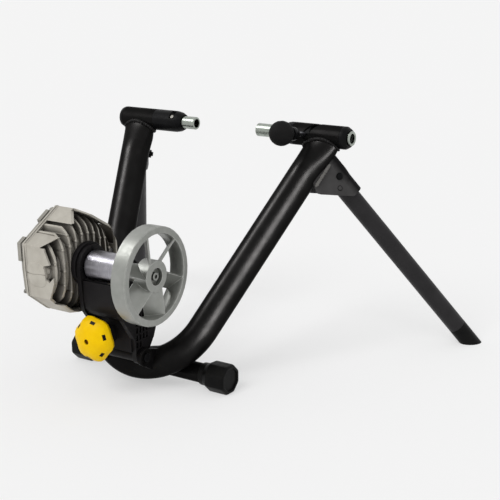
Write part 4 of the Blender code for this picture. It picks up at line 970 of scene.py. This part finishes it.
def bracket_section(along, reach, sign):
    """A U of pressed steel across the open leg: flat cheeks up to reach, and a back with rounded corners.

    At the hinge and above it the corners are tight, which leaves room for the end of the leg when it folds.
    """
    roundness = min(1.0, max(0.0, along / ROUND_FROM))
    corner = TIGHT_CORNER + (LOW_CORNER - TIGHT_CORNER) * roundness
    outer = [(reach, CHEEK_HALF)] + back_line(CHEEK_HALF, corner + CHEEK_HALF - CHEEK_INNER)
    inner = [(reach, CHEEK_INNER)] + back_line(CHEEK_INNER, corner)
    line = outer + [(reach, -CHEEK_HALF), (reach, -CHEEK_INNER)] + inner[:0:-1] + [inner[0]]
    points = [HINGE + LEG_AXIS * along + TO_FOOT * foot + BOLT_AXIS * bolt for foot, bolt in line]
    return [mirrored(point, sign) for point in points]


def add_brackets():
    """The pressed channels that the legs fold in: flat cheeks on the upright, and a back with rounded corners."""
    for sign, side in SIDES:
        shape = Shape()
        shape.loops([bracket_section(along, max(reach, SHORTEST_REACH), sign) for along, reach in CHEEK_EDGE])
        bracket = shape.piece(side + "_bracket", BRACKET_LIT_AND_SHADED, "frame", 30)
        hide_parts(side + "_leg_bracket")


def add_rivet_rings():
    """The dark groove round each painted rivet."""
    for sign, side in SIDES:
        hinge, outward = mirrored(HINGE, sign), mirrored(BOLT_AXIS, sign)
        centre = middle_of(world_points(NODES[side + "_leg_rivet"])) - hinge
        height = centre.dot(outward)
        seat = hinge + centre + outward * (math.copysign(CHEEK_HALF + 0.0001, height) - height)
        first = outward.orthogonal().normalized()
        second = outward.cross(first)
        line = [seat + spoke(first, second, t) * RIVET_RING_RADIUS for t in around(32)]
        shape = Shape()
        shape.tube(line, lambda i: 0.0005, 8, joined=True)
        shape.piece(side + "_rivet_ring", SCREW_BLACK, "frame", 60)


def add_bracket_welds():
    """The bead along the right bracket's edge, and its mirror image."""
    steps, taper = 44, 4
    for sign, side in SIDES:
        line = [mirrored(BRACKET_WELD[0].lerp(BRACKET_WELD[1], i / steps), sign) for i in range(steps + 1)]
        shape = Shape()
        size = bumpy(20 + sign, SIDE_BEAD_RADIUS)
        shape.tube(line, lambda i: size(i) * min(1.0, (i + 1) / taper, (steps + 1 - i) / taper), 10)
        shape.piece(side + "_bracket_weld", LIT_WELD_GREY, "frame", 60)


# Stage

def add_camera():
    data = bpy.data.cameras.new("camera")
    data.lens = CAMERA_LENS
    data.sensor_width = CAMERA_SENSOR
    data.clip_start, data.clip_end = 0.1, 60.0
    camera = bpy.data.objects.new("camera", data)
    bpy.context.scene.collection.objects.link(camera)
    level = math.cos(CAMERA_ELEVATION)
    forward = Vector((-math.sin(CAMERA_AZIMUTH) * level, math.cos(CAMERA_AZIMUTH) * level,
                      -math.sin(CAMERA_ELEVATION)))
    camera.rotation_mode = "QUATERNION"
    camera.location = CAMERA_PLACE
    camera.rotation_quaternion = forward.to_track_quat("-Z", "Y") @ Quaternion((0, 0, 1), CAMERA_ROLL)
    bpy.context.scene.camera = camera


def aim(lamp, place, target):
    """Puts a lamp at a place, turned towards the target."""
    lamp.location = place
    lamp.rotation_mode = "QUATERNION"
    lamp.rotation_quaternion = (Vector(target) - Vector(place)).to_track_quat("-Z", "Y")
    bpy.context.scene.collection.objects.link(lamp)


def add_panel(name, place, width, height, watts, pieces):
    """A soft box that shows in the gloss of some pieces and leaves the even level of the light alone."""
    data = bpy.data.lights.new(name, "AREA")
    data.shape = "RECTANGLE"
    data.size, data.size_y = width, height
    data.energy = watts
    lamp = bpy.data.objects.new(name, data)
    lamp.visible_diffuse = False
    aim(lamp, place, LAMP_TARGET)
    lamp.light_linking.receiver_collection = pieces


def add_sun(name, place, strength, softness):
    """Light and shadow without a streak in the gloss; the softness is the sun's width in degrees."""
    data = bpy.data.lights.new(name, "SUN")
    data.energy = strength
    data.angle = math.radians(softness)
    lamp = bpy.data.objects.new(name, data)
    lamp.visible_glossy = False
    aim(lamp, place, (0, 0, 0))


def direct_rays(tree):
    """1 for rays from the camera, from gloss and through glass."""
    path = tree.nodes.new("ShaderNodeLightPath")
    total = path.outputs["Is Camera Ray"]
    for kind in ("Is Glossy Ray", "Is Transmission Ray"):
        node = tree.nodes.new("ShaderNodeMath")
        node.operation = "MAXIMUM"
        tree.links.new(total, node.inputs[0])
        tree.links.new(path.outputs[kind], node.inputs[1])
        total = node.outputs[0]
    return total


def add_world():
    """An even sky, which the camera and the gloss see in the photograph's background tone."""
    world = bpy.data.worlds.new("studio")
    world.use_nodes = True
    bpy.context.scene.world = world
    tree = world.node_tree
    plain = tree.nodes["Background"]
    plain.inputs["Color"].default_value = (1, 1, 1, 1)
    plain.inputs["Strength"].default_value = SKY_LIGHT
    shown = tree.nodes.new("ShaderNodeBackground")
    shown.inputs["Color"].default_value = (1, 1, 1, 1)
    shown.inputs["Strength"].default_value = BACKGROUND
    mix = tree.nodes.new("ShaderNodeMixShader")
    tree.links.new(direct_rays(tree), mix.inputs["Fac"])
    tree.links.new(plain.outputs[0], mix.inputs[1])
    tree.links.new(shown.outputs[0], mix.inputs[2])
    tree.links.new(mix.outputs[0], tree.nodes["World Output"].inputs["Surface"])


def add_floor():
    """A pale floor; half of what the camera sees of it is its own even white, and half is lit and shadowed."""
    mesh = bpy.data.meshes.new("floor")
    half = FLOOR_HALF
    mesh.from_pydata([(-half, -half, 0), (half, -half, 0), (half, half, 0), (-half, half, 0)], [], [(0, 1, 2, 3)])
    floor = bpy.data.objects.new("floor", mesh)
    bpy.context.scene.collection.objects.link(floor)
    n = Nodes("floor_white")
    n.set(Base_Color=(FLOOR_WHITE, FLOOR_WHITE, FLOOR_WHITE, 1), Roughness=0.9, Specular_IOR_Level=0.0)
    glow = n.add("ShaderNodeEmission", {"Color": (1, 1, 1, 1), "Strength": FLOOR_GLOW})
    share = n.add("ShaderNodeMath", {0: direct_rays(n.tree), 1: FLOOR_GLOW_SHARE}, operation="MULTIPLY").outputs[0]
    mixed = n.add("ShaderNodeMixShader", {"Fac": share})
    n.tree.links.new(n.shader.outputs[0], mixed.inputs[1])
    n.tree.links.new(glow.outputs[0], mixed.inputs[2])
    n.tree.links.new(mixed.outputs[0], n.tree.nodes["Material Output"].inputs["Surface"])
    mesh.materials.append(n.material)


def add_lights():
    """A soft sun, and four panels that each streak the gloss of one group of pieces only."""
    add_sun("sun", (-0.3, -2.6, 2.6), strength=1.45, softness=30)
    tubes, metals, blacks = (bpy.data.collections.new(name) for name in ("tubes", "bright_pieces", "black_pieces"))
    bright = (ZINC, ROLLER_STEEL, BRIGHT_STEEL, FLYWHEEL_METAL, FLYWHEEL_BOLT, BRONZED, SCREW_GREY)
    for item in bpy.context.scene.objects:
        if item.type != "MESH" or not item.data.materials:
            continue
        material = item.data.materials[0]
        if item.name in ("frame_tube", "unit_lug"):
            tubes.objects.link(item)
        elif material in bright:
            metals.objects.link(item)
        elif material not in (HOUSING_METAL, COVER_SHADED_METAL, LEG_SHEEN_COAT):
            blacks.objects.link(item)
    add_panel("left_panel", (-1.50, -0.92, 2.25), width=0.40, height=1.0, watts=112, pieces=tubes)
    add_panel("right_panel", (2.25, -1.25, 0.83), width=1.40, height=1.4, watts=275, pieces=tubes)
    add_panel("metal_panel", (-1.35, -1.05, 2.25), width=0.80, height=1.3, watts=20, pieces=metals)
    add_panel("soft_panel", (-1.10, -1.60, 2.10), width=1.20, height=1.8, watts=34, pieces=blacks)


dress_nodes()
add_frame_tube()
add_weld_beads()
add_pips()
add_hood_bulge()
add_seam()
add_witness_line()
add_boss_sleeve()
add_far_fin()
add_lug()
add_knob_slots()
add_pivot_washer()
add_lever_neck()
add_feet()
add_tip_collar()
add_brackets()
add_rivet_rings()
add_bracket_welds()
add_camera()
add_world()
add_floor()
add_lights()
bpy.context.scene.view_settings.view_transform = "Standard"
